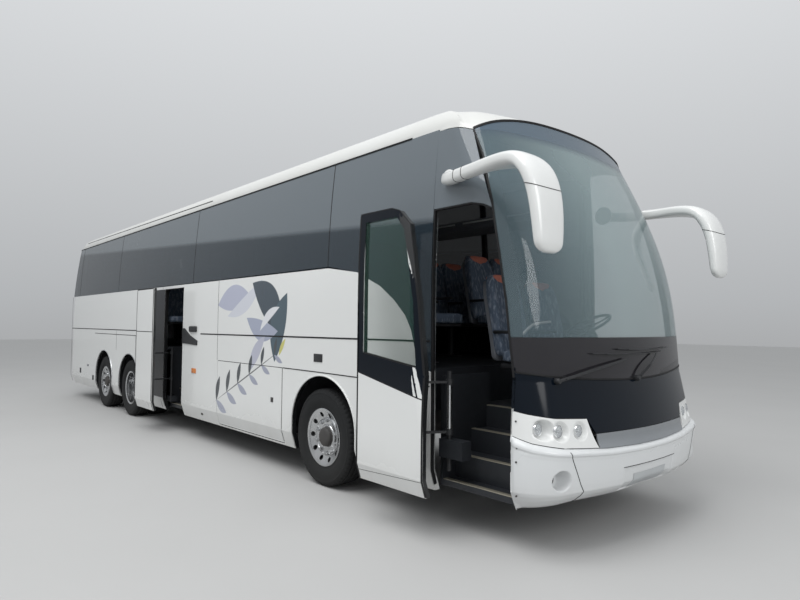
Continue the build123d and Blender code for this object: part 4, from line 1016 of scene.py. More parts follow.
edgeArc = roof["edgeY"] - roof["eaveR"] + roof["eaveR"] * np.cos(np.radians(np.linspace(0, 90, 14)))
sectionY = np.concatenate([edgeArc, np.linspace(0.93, 0, 16)])
sectionY = np.concatenate([sectionY, -sectionY[-2::-1]])
xs = np.linspace(-9.85, 1.30, 90)[:, None]
mainRoof = np.stack([at(xs) + 0 * sectionY, sectionY + 0 * xs, roofHeight(xs, sectionY[None, :])], -1)
mainRoof[..., 2] = np.where(np.abs(sectionY) > 1.1779, roof["eaveZ"] - 0.002, mainRoof[..., 2])


def roofCap(edge, seam, n):
    # rows run from the cap's edge line to the seam section;
    # heights follow the roof form and meet the edge exactly
    t = np.linspace(0, 1, n)[:, None, None]
    p = mix(edge[None], seam[None], t)
    form = roofHeight(p[..., 0] - coach["frontAxle"], p[..., 1] * roof["edgeY"] / np.maximum(roof["edgeY"],
        np.abs(p[..., 1])))
    edgeGap = edge[:, 2] - roofHeight(edge[:, 0] - coach["frontAxle"], edge[:, 1])
    seamGap = seam[:, 2] - roofHeight(seam[:, 0] - coach["frontAxle"], seam[:, 1])
    fade = t[..., 0]
    p[..., 2] = form + edgeGap[None] * (1 - fade)**3 + seamGap[None] * fade**3
    return p


def capEdge(count):
    # along the left roof edge, round the top of the windscreen, and back along the right roof edge
    sideX = np.linspace(1.30, 2.0, 24)
    sideZ = np.interp(sideX, np.append(1.30, roofEdge[:, 0]), np.append(3.366, roofEdge[:, 1]))
    left = skin(sideX, sideZ, 1)
    left[:, 1] = np.minimum(left[:, 1], roof["edgeY"] + 0.004)
    u = np.linspace(1, -1, 81)
    z = glassHead(u) + 0.010
    top = planPoint(u * wayAt(pillarX(glassHead(u)), glassHead(u)), z, nose, -0.002)
    return resample(np.concatenate([left, top[1:-1], left[::-1] * (1, -1, 1)]), count)


columns = 161
seamLine = resample(mainRoof[-1], columns)
dome = roofCap(capEdge(columns), seamLine, 40)
piece("dome_skin", shell(dome, 0.006, (4.0, 0, 1.0)), roofPaint, replaces="front_dome",
    sharp=40)


def tailEdge(count):
    # along the left eave, round the tail, and back along the right eave
    zTop = roof["eaveZ"] - 0.002
    xsEdge = np.linspace(-9.85, -10.05, 8)
    left = skin(xsEdge, np.full(8, zTop), 1, 0, tail)
    left[:, 1] = np.minimum(left[:, 1], roof["edgeY"] + 0.004)
    wayEnd = float(wayAt(-10.05, zTop, tail))
    s = np.linspace(wayEnd, -wayEnd, 80)
    back = planPoint(s, np.full(80, zTop), tail)
    back[:, 1] = np.clip(back[:, 1], -roof["edgeY"] - 0.004, roof["edgeY"] + 0.004)
    return resample(np.concatenate([left, back[1:-1], left[::-1] * (1, -1, 1)]), count)


tailCap = roofCap(tailEdge(columns), resample(mainRoof[0], columns), 30)
piece("roof_skin", shell(mainRoof, 0.006, (0, 0, 1.0)) + shell(tailCap, 0.006, (-6, 0, 1.0)), roofPaint,
    replaces="roof_shell", sharp=40)
print("roof ready")

# Roof equipment: the cooling unit with its side grilles and fans, and two hatches
pod = dict(x=(-9.90, -2.70), half=0.80, edgeZ=3.67, topZ=3.80, round=0.10)
xs = np.concatenate([pod["x"][0] + 0.25 * (1 - np.cos(np.radians(np.linspace(0, 90, 10)))),
    np.linspace(-9.4, -3.2, 30),
                     pod["x"][1] - 0.25 * (1 - np.sin(np.radians(np.linspace(0, 90, 10))))])
t = np.linspace(-1, 1, 61)[None, :]
endDrop = np.clip(np.minimum(xs - pod["x"][0], pod["x"][1] - xs) / 0.25, 0, 1)[:, None]
rise = np.sqrt(1 - (1 - endDrop)**2)
y = t * pod["half"] * (0.90 + 0.10 * rise)
base = arcHeight(y) - 0.004
arcTop = pod["edgeZ"] + (pod["topZ"] - pod["edgeZ"]) * (1 - (t / 1.0)**2)
shoulder = np.sqrt(np.clip((1 - np.abs(t)) / 0.06, 0, 1) * (2 - np.clip((1 - np.abs(t)) / 0.06, 0, 1)))
z = mix(base, np.maximum(arcTop - 0.004, base + 0.002), rise * shoulder)
podTop = np.stack([at(xs)[:, None] + 0 * t, y + 0 * xs[:, None], z], -1)
podBase = np.stack([podTop[..., 0], podTop[..., 1], base + 0 * z], -1)
podShapes = [grid(np.concatenate([podTop, podBase[:, ::-1]], 1), wrapV=True)]
podShapes += [grid(np.stack([podTop[k], podBase[k]])) for k in (0, -1)]
fans, louvres = [], []
for x in (-8.9, -7.7, -5.0, -3.9):
    for y in (-0.36, 0.36):
        ring = [(0.17, 0.0), (0.17, 0.020), (0.20, 0.024), (0.215, 0.0)]
        top = pod["edgeZ"] + 0.13 * (1 - (0.36 / 0.8)**2) - 0.006
        fans.append(lathe(ring, (at(x), y, top), 48, "z"))
        fans.append(lathe([(0.0, 0.012), (0.05, 0.012), (0.06, 0.0), (0.0, 0.0)], (at(x), y, top), 32, "z"))
        for turn in np.arange(7) * 0.898:
            place = (at(x) + 0.09 * math.cos(turn), y + 0.09 * math.sin(turn), top + 0.009)
            fans.append(roundBox(place, (0.15, 0.035, 0.006), 0.003, turnZ(math.degrees(turn)), 2))
for x in np.arange(-9.2, -3.3, 0.16):
    for side in (-1, 1):
        louvres.append(roundBox((at(x), side * 0.762, 3.655), (0.11, 0.03, 0.045), 0.008, None, 2))
piece("cooling_unit", podShapes, roofPlastic, replaces="roof_air_conditioner", sharp=50)
piece("cooling_fans", [fans, louvres], plastic)
hatches = []
for x in (-2.2, -0.9):
    a = np.linspace(-1, 1, 33)
    gx, gy = np.meshgrid(a, a, indexing="ij")
    crown = ((1 - np.abs(gx)**8) * (1 - np.abs(gy)**8))**0.35 * (1 - 0.12 * (gx**2 + gy**2))
    lid = np.stack([at(x) + 0.31 * gx, 0.32 * gy, 3.66 + 0.10 * crown], -1)
    under = lid.copy()
    under[..., 2] = 3.645
    hatches += [grid(lid), grid(under[:, ::-1])] + [grid(np.stack([lid[k], under[k]])) for k in (0, -1)]
    hatches += [grid(np.stack([lid[:, k], under[:, k]])) for k in (0, -1)]
piece("roof_hatch_lids", hatches, roofPlastic, replaces="roof_hatches", sharp=50)

# Tail: the rear wall round its window and hatch, the bumper and the lamps
rear = dict(glassY=0.96, glassZ=(2.30, 3.20), hatchY=0.82, hatchZ=(0.64, 1.76), bumperTop=0.62,
    lamps=[(1.03, 0.93), (1.03, 1.08), (1.03, 1.23)])


def tailBoard(y0, y1, z0, z1, nu=40, nv=30, out=0.0):
    # a patch of the tail between two y values (by way along the plan) and two heights
    s = np.linspace(y0, y1, nu)[:, None]
    z = np.linspace(z0, z1, nv)[None, :]
    return planPoint(s + 0 * z, z + 0 * s, tail, out)


def tailSide(z):
    # the tail's panels meet the side walls along this line of stations
    return np.interp(z, [0.1, 1.9, 2.278, 3.365], [-10.45, -10.45, -10.385, -10.18])


def tailWing(side, z0, z1, inner, nu=40, nv=40):
    # from the way inner out to the side wall's edge
    z = np.linspace(z0, z1, nv)[None, :]
    outer = wayAt(tailSide(z), z, tail)
    way = mix(inner, outer, np.linspace(0, 1, nu)[:, None])
    return planPoint(side * way, z + 0 * way, tail)


gap = 0.006
tailParts = []
for side in (-1, 1):
    tailParts += shell(tailWing(side, rear["bumperTop"] + gap, 3.366, 0.972), 0.010, (-6, 0, 1.8))
    tailParts += shell(tailBoard(side * 0.828, side * 0.972, rear["bumperTop"] + gap, 2.292, 8), 0.010,
        (-6, 0, 1.8))
tailParts += shell(tailBoard(-0.828, 0.828, 1.768, 2.292), 0.010, (-6, 0, 1.8))
tailParts += shell(tailBoard(-0.972, 0.972, 3.208, 3.366), 0.010, (-6, 0, 1.8))
piece("tail_skin", tailParts, paint, replaces="rear_wall", sharp=40)
piece("rear_pane", shell(tailBoard(-rear["glassY"], rear["glassY"], *rear["glassZ"]), 0.008, (-6, 0, 1.8)),
    sideTint, replaces="rear_window")
hatchSkin = shell(tailBoard(-rear["hatchY"], rear["hatchY"], *rear["hatchZ"], 60, 50), 0.030, (-6, 0, 1.8))
piece("hatch_skin", hatchSkin, paint, body="engine_hatch", replaces="engine_hatch",
    sharp=40)
slats = []
for k in range(12):
    slats += bead(onTail, np.linspace(-0.70, 0.70, 40), 0.74 + 0.036 * k, 0.018, 0.010, 0.0095)
piece("hatch_slats", slats, plastic, body="engine_hatch")
z = np.linspace(0.30, rear["bumperTop"], 24)[None, :]
outer = wayAt(np.full(z.shape, -10.45), z, tail)
way = np.linspace(-1, 1, 160)[:, None] * outer
offset = np.interp(z, [0.30, 0.36, 0.42, 0.52, 0.585, 0.61, 0.62],
    [-0.04, -0.012, 0.001, 0.003, -0.001, -0.006, -0.015])
offset = offset * smooth((outer - np.abs(way)) / 0.06 + 0.3)
piece("rear_bumper_skin", shell(planPoint(way, z + 0 * way, tail, offset), 0.008, (-6, 0, 0.5)),
    bumperPaint, replaces="rear_bumper", sharp=50)
lampRows = []
for side in (-1, 1):
    for y, z in rear["lamps"]:
        x = float(planPoint(1.03, z, tail)[0])
        lampRows.append(lathe([(0.0, -0.030), (0.030, -0.027), (0.046, -0.020), (0.052, -0.010),
            (0.052, 0.03), (0.0, 0.03)], (x, side * y, z), 40, "x"))
piece("tail_lamp_lenses", [lampRows[0::3] + lampRows[1::3], lampRows[2::3]], [redGlass, amberGlass],
    replaces="tail_lamps")
piece("rear_bare_plate", shell(tailBoard(-0.26, 0.26, 0.44, 0.56, 20, 8, 0.0055), 0.003, (-6, 0, 0.5)),
    plateWhite)
tailSeals = []
for z in (2.296, 3.204):
    tailSeals += bead(onTail, np.linspace(-0.966, 0.966, 60), z, 0.018, 0.008)
for s in (-0.966, 0.966):
    tailSeals += bead(onTail, s, np.linspace(2.296, 3.204, 30), 0.018, 0.008)
piece("rear_seals", tailSeals, gasket)
print("tail ready")

# Side lines, arch lips, flap gaps and small fittings
strips = [
    ("waist_line_front", [(-3.078, 1.532), (0.60, 1.542), (1.64, 1.545)], -1),
    ("waist_line_rear", [(-10.44, 1.550), (-5.10, 1.546)], -1),
    ("arch_line_right", [(-0.770, 1.183), (0.10, 1.178), (0.60, 1.172), (1.640, 1.166)], -1),
    ("waist_line_left", [(-10.44, 1.550), (2.49, 1.545)], 1),
    ("arch_line_left", [(-0.770, 1.183), (1.00, 1.178), (2.49, 1.166)], 1),
    ("upper_line_rear", [(-8.50, 1.461), (-5.90, 1.457)], -1),
    ("rear_line_left", [(-10.44, 1.186), (-5.40, 1.184)], 1),
]
for name, points, side in strips:
    strip(name, points, gasket, side, 0.016 if "waist" in name else 0.010, 0.003)
uprights = [("panel_joint_a", -2.51, 1.19, 2.27), ("panel_joint_b", -5.90, 0.35, 1.453),
    ("panel_joint_c", -7.02, 1.16, 1.53),
            ("panel_joint_d", -10.45, 0.33, 2.27), ("panel_joint_e", -0.775, 0.35, 1.18),
            ("panel_joint_f", -4.62, 0.32, 2.27)]
for name, x, low, high in uprights:
    for side in (-1, 1):
        if side < 0 or name in ("panel_joint_a", "panel_joint_c", "panel_joint_d"):
            strip(f"{name}_{'right' if side < 0 else 'left'}", [(x, low), (x, high)], gasket, side, 0.006,
                0.0015, 30)
archRows = [("front", 0.03, 0.59, 1.150), ("drive", -6.24, 0.56, 1.120), ("tag", -7.80, 0.56, 1.130)]
for name, station, half, top in archRows:
    for side in (-1, 1):
        head = half * 0.92
        a = np.radians(np.linspace(180, 0, 80))
        x = np.concatenate([np.full(12, -half), half * np.cos(a), np.full(12, half)]) + station
        z = np.concatenate([np.linspace(0.32, top - head - 0.02, 12), top - head + head * np.sin(a),
            np.linspace(top - head - 0.02, 0.32, 12)])
        lip = bead(sideFace(side), x, z, 0.018, 0.016, edge=0.4)
        piece(f"{name}_arch_lip_{'right' if side < 0 else 'left'}", lip,
            bright if name != "front" else paint)

# Small things on the right side. Columns: station, z, width, height, thickness, finish
sideBits = [(-0.048, 1.327, 0.160, 0.085, 0.006, plastic), (-1.002, 0.799, 0.055, 0.055, 0.006, steel),
    (-3.020, 0.400, 0.060, 0.030, 0.006, steel),
            (-3.290, 0.995, 0.150, 0.070, 0.010, amberGlass), (-9.590, 0.620, 0.110, 0.110, 0.005, plastic),
            (-8.565, 0.526, 0.100, 0.100, 0.005, plastic), (-8.985, 0.765, 0.090, 0.040, 0.008, greyPlastic)]
bits = {}
for x, z, wide, high, thick, look in sideBits:
    for side in (-1, 1):
        place = skin(x, z, side, thick / 2 - 0.001)
        bits.setdefault(look.name, (look, []))[1].append(roundBox(place, (wide, thick + 0.002, high),
            thick * 0.45, None, 3))
for index, (look, shapes) in enumerate(bits.values()):
    piece(f"side_fittings_{'abcd'[index]}", shapes, look)
gripLow, gripHigh = [(-3.735, 1.385), (-3.190, 1.365)], [(-3.735, 1.605), (-3.660, 1.610), (-3.450, 1.505),
    (-3.180, 1.430)]
grip = shell(sideBoard(gripLow, gripHigh, 16, 30, 0.012), 0.014)
grip.append(roundBox(skin(-3.33, 1.598, -1, 0.012), (0.25, 0.034, 0.085), 0.017, None, 6))
piece("door_grip_housing", grip, plastic)
# A black sheet on the wall behind the open middle door: painted shade where the leaf shades the white wall
shadePlate = shell(sideBoard([(-5.060, 0.490), (-4.512, 0.490)], [(-5.060, 2.225), (-4.512, 2.225)], 30, 8,
    0.002), 0.003)
piece("door_shade_plate", shadePlate, blackGloss)
# Thin dark strips along both roof edges beside the cooling unit: painted shadow of the gap between the roof
# edge and the unit's side
shadeLines = []
for side in (-1, 1):
    x = np.linspace(-9.80, -3.02, 60)
    z = np.interp(x, [-9.80, -3.02], [3.490, 3.452])
    y = roof["shoulderY"] + np.sqrt(roof["eaveR"]**2 - (z - roof["eaveZ"])**2) - 0.002
    shadeLines += sweep(np.stack([at(x), side * y, z], -1), bar(0.014, 0.005),
        np.stack([0 * x, side * (y - roof["shoulderY"]), z - roof["eaveZ"]], -1))
piece("roof_shade_lines", shadeLines, gasket)
y = np.linspace(-0.86, 0.86, 40)
cowl = np.stack([np.full(40, at(-2.40)), y, arcHeight(y) + 0.012], -1)
piece("cooling_cowl", sweep(cowl, roundProfile(0.62, 0.125, 32, 2.4), (0, 0, 1),
    scale=smooth((0.875 - np.abs(y)) / 0.10) * 0.9 + 0.1), roofPlastic)

# Wheels. A profile is (radius, outward offset) from the tyre's middle plane
wheel = dict(tyreR=0.505, grooves=[0.028, 0.084], grooveHalf=0.006, grooveDepth=0.013, holes=10,
    holeR=0.026, holeAt=0.236, nuts=10, nutAt=0.1675)


def tyreProfile():
    # bead, sidewall bulge, shoulder, and a tread with four grooves
    halfSide = [(0.287, 0.112), (0.300, 0.116), (0.306, 0.124), (0.316, 0.126), (0.330, 0.131),
        (0.350, 0.138), (0.380, 0.1435), (0.405, 0.1450),
                (0.430, 0.1440), (0.452, 0.1405), (0.456, 0.1425), (0.462, 0.1395), (0.476, 0.134),
                (0.488, 0.128), (0.495, 0.1215), (0.4985, 0.112)]
    tread = []
    for g in sorted(wheel["grooves"], reverse=True):
        h, d = wheel["grooveHalf"], wheel["grooveDepth"]
        r = wheel["tyreR"] - 0.0045 * (g / 0.11)**2
        tread += [(r, g + h + 0.0008), (r - d, g + h * 0.6), (r - d, g - h * 0.6), (r, g - h - 0.0008)]
    tread += [(wheel["tyreR"], 0.0)]
    side = halfSide + [(0.5005, 0.1075)] + tread
    return side + [(r, -o) for r, o in side[-2::-1]]


def lugs(a, r, off):
    # cuts across the shoulders, four places a pitch
    pitch = (np.round(a / (2 * np.pi) * 240).astype(int) % 4) == 0
    shoulder = (np.abs(off) > 0.098) & (r > 0.487)
    sipe = (np.abs(off) < 0.075) & (r > 0.503)
    return -0.009 * (pitch & shoulder) - 0.0025 * (pitch & sipe)


def tyreShape(x, y, side):
    # the outer profile and the inner wall turned about the axle
    profile = np.array(tyreProfile()) * (1, side)
    inner = [(0.287, -0.112 * side), (0.300, -0.080 * side), (0.300, 0.080 * side)]
    return lathe(np.concatenate([profile, inner]), (at(x), y, coach["wheelZ"]), 240, "y", lugs)


def rimBarrel(x, y, side):
    # flange, rim well and the far flange
    half = [(0.270, 0.118), (0.292, 0.1275), (0.299, 0.126), (0.300, 0.120), (0.295, 0.114), (0.287, 0.112)]
    ring = half + [(0.284, 0.02), (0.284, -0.10)] + [(r, -o) for r, o in half[::-1]] + [(0.268, -0.11),
        (0.268, 0.10)]
    return lathe(np.array(ring) * (1, side), (at(x), y, coach["wheelZ"]), 160, "y")


def holePatches(centre, side, coneOf, r0, r1):
    # ten sectors of the cone, each a ring of quads from its edge to the round hand hole, and the hole's wall
    x, y, z = centre
    shapes = []
    half = np.pi / wheel["holes"]
    around = [(-half + 2 * half * t, r0) for t in np.arange(16) / 16] + [(half,
        mix(r0, r1, t)) for t in np.arange(8) / 8]
    around += [(half - 2 * half * t, r1) for t in np.arange(16) / 16] + [(-half,
        mix(r1, r0, t)) for t in np.arange(8) / 8]
    around = np.array(around)
    local = np.stack([around[:, 0] * wheel["holeAt"], around[:, 1] - wheel["holeAt"]], -1)
    angle = np.arctan2(local[:, 1], local[:, 0])
    circle = np.stack([wheel["holeR"] * np.cos(angle) / wheel["holeAt"],
        wheel["holeAt"] + wheel["holeR"] * np.sin(angle)], -1)
    t = np.linspace(0, 1, 5)[None, :, None]
    flatRing = mix(around[:, None], circle[:, None], t)
    for k in range(wheel["holes"]):
        a = flatRing[..., 0] + k * 2 * half
        r = flatRing[..., 1]
        front = np.stack([x + r * np.cos(a), y + side * coneOf(r), z + r * np.sin(a)], -1)
        wall = front[:, -1] - (0, side * 0.014, 0)
        back = front - (0, side * 0.014, 0)
        shapes.append(grid(np.concatenate([front, wall[:, None], back[:, ::-1][:, 1:]], 1), wrapU=True))
    return shapes


def rodAt(centre, radius, start, end, side, n=6, dome=0.0):
    # a rod of n sides along the axle, from start to end, with its rim rounded by dome
    x, y, z = centre
    ring = [(0.0, end), (radius * 0.7, end), (radius, end - dome), (radius, start), (0.0, start)]
    return lathe([(r, side * o) for r, o in ring], centre, n, "y")


def wheelFace(x, y, side, deep=False):
    # the disc with its hand holes, the hub and the nuts; a twin's face lies deep
    centre = (at(x), y, coach["wheelZ"])
    if deep:
        r0, cone = 0.205, ([0.15, 0.205, 0.272], [-0.066, -0.066, -0.098])
        disc = [(0.272, -0.098), (0.276, -0.104), (0.276, -0.116), (0.272, -0.112)]
        face = [(0.205, -0.066), (0.198, -0.060), (0.150, -0.060), (0.115, -0.058), (0.108, -0.052),
            (0.108, 0.020), (0.098, 0.036), (0.060, 0.040), (0.0, 0.040)]
        back = [(0.0, -0.090), (0.205, -0.080)]
        base = -0.060
    else:
        r0, cone = 0.198, ([0.15, 0.198, 0.272], [0.074, 0.076, 0.112])
        disc = [(0.272, 0.112), (0.278, 0.118), (0.286, 0.118), (0.284, 0.104), (0.272, 0.098)]
        face = [(0.198, 0.076), (0.196, 0.084), (0.188, 0.086), (0.184, 0.078), (0.178, 0.074),
            (0.130, 0.074), (0.124, 0.080), (0.112, 0.082), (0.104, 0.078),
                (0.100, 0.082), (0.096, 0.110), (0.084, 0.122), (0.060, 0.128), (0.0, 0.130)]
        back = [(0.0, 0.050), (0.198, 0.062)]
        base = 0.074
    shapes = holePatches(centre, side, lambda r: np.interp(r, *cone), r0, 0.272)
    shapes.append(lathe(np.array(disc) * (1, side), centre, 160, "y"))
    hubEdge = next(k for k, row in enumerate(face) if row[0] < 0.101)
    plateRows = face[:hubEdge] + [(0.0, face[hubEdge - 1][1] - 0.01)] + back
    shapes.append(lathe(np.array(plateRows) * (1, side), centre, 160, "y"))
    hub = face[hubEdge - 1:] + [(0.0, face[hubEdge - 1][1] - 0.03),
        (face[hubEdge - 1][0] - 0.004, face[hubEdge - 1][1] - 0.03)]
    dark = [lathe(np.array(hub) * (1, side), centre, 96, "y")]
    nuts = []
    for k in range(wheel["nuts"]):
        a = 2 * np.pi * (k + 0.5) / wheel["nuts"]
        place = (centre[0] + wheel["nutAt"] * math.cos(a), y, centre[2] + wheel["nutAt"] * math.sin(a))
        nuts.append(rodAt(place, 0.019, base - 0.004, base + 0.006, side, 24))
        nuts.append(rodAt(place, 0.0165, base, base + 0.026, side, 6, 0.003))
        nuts.append(rodAt(place, 0.010, base, base + 0.036, side, 16, 0.002))
    return shapes, dark, nuts


for axle, x, twin in (("front", 0.0, False), ("drive", coach["driveAxle"], True),
        ("tag", coach["tagAxle"], False)):
    for side, sideName in ((-1, "right"), (1, "left")):
        body = f"{axle}_wheel_{sideName}"
        centres = [side * coach["trackY"]] + ([side * (coach["trackY"]
            - coach["twinPitch"])] if twin else [])
        piece(f"{axle}_tread_{sideName}", [tyreShape(x, y, side) for y in centres], rubber, body,
            f"{axle}_tyre_{sideName}", sharp=38)
        faces, dark, nuts = wheelFace(x, centres[0], side, twin)
        barrels = [rimBarrel(x, y, side) for y in centres]
        if twin:
            inner, innerDark, innerNuts = wheelFace(x, centres[1], -side, True)
            faces, dark, nuts = faces + inner, dark + innerDark, nuts
        piece(f"{axle}_rim_{sideName}", [faces + barrels + nuts, dark],
            [bright, steel if not twin else bright], body, f"{axle}_wheel_{sideName}",
            sharp=35)
print("wheels ready")

# Front door: black upper half on the leaf, glass, rubber edges. The leaf stands at its open place
doorShift = np.array([-0.590, -0.330, 0.0])


def doorLine(points, width, height, n):
    # a bead on the open leaf
    return onLine(points, sideFace(-1), width, height, n, shift=doorShift)


a = np.array([(1.660, 1.276), (1.660, 2.650), (2.080, 2.650), (2.180, 2.620), (2.290, 2.500),
    (2.352, 2.250), (2.424, 1.870), (2.490, 1.280), (2.490, 1.104), (1.660, 1.276)])
b = np.array([(1.740, 1.440), (1.740, 2.570), (2.100, 2.570), (2.150, 2.570), (2.240, 2.460),
    (2.300, 2.230), (2.370, 1.870), (2.400, 1.460), (2.410, 1.350), (1.740, 1.440)])
steps = np.concatenate([np.linspace(k, k + 1, 14, endpoint=False) for k in range(len(a) - 1)]
    + [[len(a) - 1]])


def along(table, steps):
    # the points at fractional row numbers
    k = np.minimum(steps.astype(int), len(table) - 2)
    return mix(table[k], table[k + 1], (steps - k)[:, None])


ring = mix(along(a, steps)[:, None], along(b, steps)[:, None], np.linspace(0, 1, 6)[None, :, None])
cover = skin(ring[..., 0], ring[..., 1], -1, 0.0003) + doorShift
coverIn = skin(ring[..., 0], ring[..., 1], -1, -0.0005) + doorShift
loopRing = np.concatenate([cover, coverIn[:, ::-1]], 1)
piece("front_door_upper", [grid(loopRing, wrapV=True)], blackGloss, "front_door")
inCover = np.concatenate([skin(ring[..., 0], ring[..., 1], -1, -0.0455) + doorShift,
    (skin(ring[..., 0], ring[..., 1], -1, -0.0475) + doorShift)[:, ::-1]], 1)
piece("front_door_lining", [grid(inCover, wrapV=True)], plastic, "front_door")
leftEdge = np.array([(1.740, 1.440), (1.740, 2.570)])
rightEdge = np.array([(2.410, 1.350), (2.370, 1.870), (2.300, 2.230), (2.240, 2.460), (2.150, 2.570)])
doorPane = ruled(leftEdge, rightEdge, 30, 40)
paneGrid = skin(doorPane[..., 0], doorPane[..., 1], -1, -0.004) + doorShift
piece("front_door_pane", shell(paneGrid, 0.006, (4.9, -1.2, 1.8)), doorTint, "front_door",
    "front_door_glass")
edgesOfDoor = doorLine([(1.664, 0.350), (1.664, 2.646), (2.080, 2.646), (2.176, 2.616), (2.286, 2.498),
    (2.348, 2.250), (2.420, 1.870), (2.486, 1.280), (2.486, 0.350)], 0.020, 0.0003, 200)
edgesOfDoor += doorLine([(1.745, 1.440), (2.405, 1.352)], 0.014, 0.0004, 30)
edgesOfDoor += doorLine([(1.664, 1.270), (2.486, 1.100)], 0.010, 0.0004, 40)
piece("front_door_rubbers", edgesOfDoor, gasket, "front_door")
tuckLine = doorLine([(1.668, 0.430), (2.482, 0.470)], 0.006, 0.0003, 30)
piece("front_door_crease", tuckLine, gasket, "front_door")

# Middle door: rubber edges
midShift = np.array([-0.330, -0.330, 0.0])


def midLine(points, width, height, n=60):
    # a bead on the open leaf
    return onLine(points, sideFace(-1), width, height, n, shift=midShift)


piece("mid_door_rubbers", midLine([(-4.494, 0.356), (-4.494, 2.211), (-3.758, 2.211), (-3.758, 0.356)],
    0.020, 0.0003, 120)
      + midLine([(-4.49, 1.548), (-3.76, 1.546)], 0.012, 0.0003), gasket, "mid_door")

# Doorways: dark frames round the openings and bright nosings on the stairs

def frameBar(points, width, height, sink=0.030, n=80):
    # a bead inside the opening, sink under the right side's face
    x, z = resample(points, n).T
    return bead(sideFace(-1), x, z, width, height, sink)


frames = frameBar([(1.660, 0.36), (1.660, 2.655)], 0.014, 0.028)
frames += frameBar([(1.664, 2.655), (2.080, 2.655), (2.190, 2.628), (2.255, 2.590)], 0.012, 0.028)
frames += frameBar([(-4.506, 0.36), (-4.506, 2.221), (-3.744, 2.221), (-3.744, 0.36)], 0.014, 0.028, n=120)
piece("doorway_rubbers", frames, gasket)
# Stairs. Columns: station, width, then y and height of each step's edge
stairs = [(2.06, 0.755, [(-1.150, 0.390), (-1.000, 0.580), (-0.800, 0.770), (-0.600, 0.960)]),
          (-4.125, 0.745, [(-1.150, 0.400), (-1.010, 0.625), (-0.830, 0.850), (-0.650, 1.075)])]
nosings = [roundBox((at(x), y + 0.022, z + 0.0035), (wide, 0.045, 0.010), 0.003, None, 3)
           for x, wide, rows in stairs for y, z in rows]
piece("step_nosings", nosings, edging)
jamb = frameBar([(1.655, 0.42), (1.655, 2.60)], 0.006, 0.004, sink=0.050)
piece("doorway_strip", jamb, bright)
sleeve = np.array([(at(1.78), -1.18, z) for z in np.linspace(0.826, 1.184, 8)])
piece("door_post_sleeve", sweep(sleeve, roundProfile(0.044, n=20), (1, 0, 0)), bright, "front_door_arms")
print("doors ready")

# Seats. A cushion is a crowned closed form, bent along its height. Sizes in metres
seatSize = dict(pitch=0.82, rows=13, first=0.70, pairY=0.73, seatY=0.215, width=0.43, floorZ=1.30,
    platformZ=0.96)
rowStations = [seatSize["first"] - k * seatSize["pitch"] for k in range(seatSize["rows"])]
besideWell = [x for x in rowStations if -5.01 < x < -3.48]


def cushion(centre, size, square=0.34, nLon=28, nLat=16, warp=None):
    # a superquadric: cosines and sines raised to a small power give a box with crowned faces and soft edges
    lon = np.arange(nLon) / nLon * 2 * np.pi
    lat = np.linspace(-np.pi / 2, np.pi / 2, nLat)
    power = lambda v, e: np.sign(v) * np.abs(v)**e
    cl, sl = power(np.cos(lat), square)[:, None], power(np.sin(lat), square)[:, None]
    co, so = power(np.cos(lon), square)[None, :], power(np.sin(lon), square)[None, :]
    p = np.stack([cl * co, cl * so, np.broadcast_to(sl, (nLat, nLon))], -1) * (np.asarray(size) / 2)
    p[0], p[-1] = p[0].mean(0), p[-1].mean(0)
    if warp is not None:
        p = warp(p)
    return grid(p + np.asarray(centre), wrapV=True)


def backWarp(lean, height, wing=0.020):
    # leans back with height, hollows in the middle and comes forward at the wings
    def warp(p):
        z = p[..., 2] + height / 2
        y = np.abs(p[..., 1])
        p[..., 0] += -lean * np.clip(z / height, 0, 1)**1.25 + wing * (y / 0.2)**3 * smooth((z - 0.05)
            / 0.2) - 0.012 * np.exp(-(z - 0.42)**2 / 0.02)
        p[..., 1] *= 1 - 0.10 * smooth((z - height * 0.72) / (height * 0.28))
        return p
    return warp


def seatForms(x, y, floorZ, width):
    # cloth cushions, the head cover, the hard shell behind, and the frame
    soft = [cushion((at(x) + 0.235, y, floorZ + 0.452), (0.44, width, 0.105)),
            cushion((at(x) - 0.005, y, floorZ + 0.820), (0.115, width, 0.76), warp=backWarp(0.155, 0.76))]
    head = [cushion((at(x) - 0.127, y, floorZ + 1.120), (0.105, width * 0.80, 0.150),
        warp=backWarp(0.020, 0.15, 0.004))]
    hard = [cushion((at(x) - 0.056, y, floorZ + 0.770), (0.050, width * 0.97, 0.74), 0.22,
        warp=backWarp(0.150, 0.74, 0.012))]
    arm = []
    for edge in (-1, 1):
        arm.append(roundBox((at(x) + 0.11, y + edge * (width / 2 + 0.008), floorZ + 0.665),
            (0.30, 0.034, 0.030), 0.012, None, 3))
    return soft, head, hard, arm


soft, head, hard, frameParts = [], [], [], []
for x in rowStations:
    for side in (-1, 1):
        if side < 0 and x in besideWell:
            continue
        for offset in (-seatSize["seatY"], seatSize["seatY"]):
            a, b, c, d = seatForms(x, side * seatSize["pairY"] + offset, seatSize["floorZ"],
                seatSize["width"] - 0.02)
            soft, head, hard, frameParts = soft + a, head + b, hard + c, frameParts + d
        y = side * seatSize["pairY"]
        frameParts.append(roundBox((at(x) + 0.20, y, 1.30 + 0.385), (0.40, 0.84, 0.035), 0.01, None, 2))
        frameParts.append(roundBox((at(x) + 0.18, y - side * 0.12, 1.30 + 0.19), (0.06, 0.05, 0.37), 0.01,
            None, 2))
        frameParts.append(roundBox((at(x) + 0.18, y - side * 0.12, 1.30 + 0.012), (0.34, 0.08, 0.022),
            0.008, None, 2))
cushions = piece("passenger_cushions", [soft, head], [cloth, trimCloth], replaces="passenger_seats",
    sharp=80)
piece("passenger_seat_frames", [hard, frameParts], [greyPlastic, plastic])
soft, head, hard, frameParts = seatForms(1.80, -0.38, 0.96, 0.42)
more = seatForms(1.48, 0.64, 0.96, 0.47)
soft, head, hard, frameParts = soft + more[0], head + more[1], hard + more[2], frameParts + more[3]
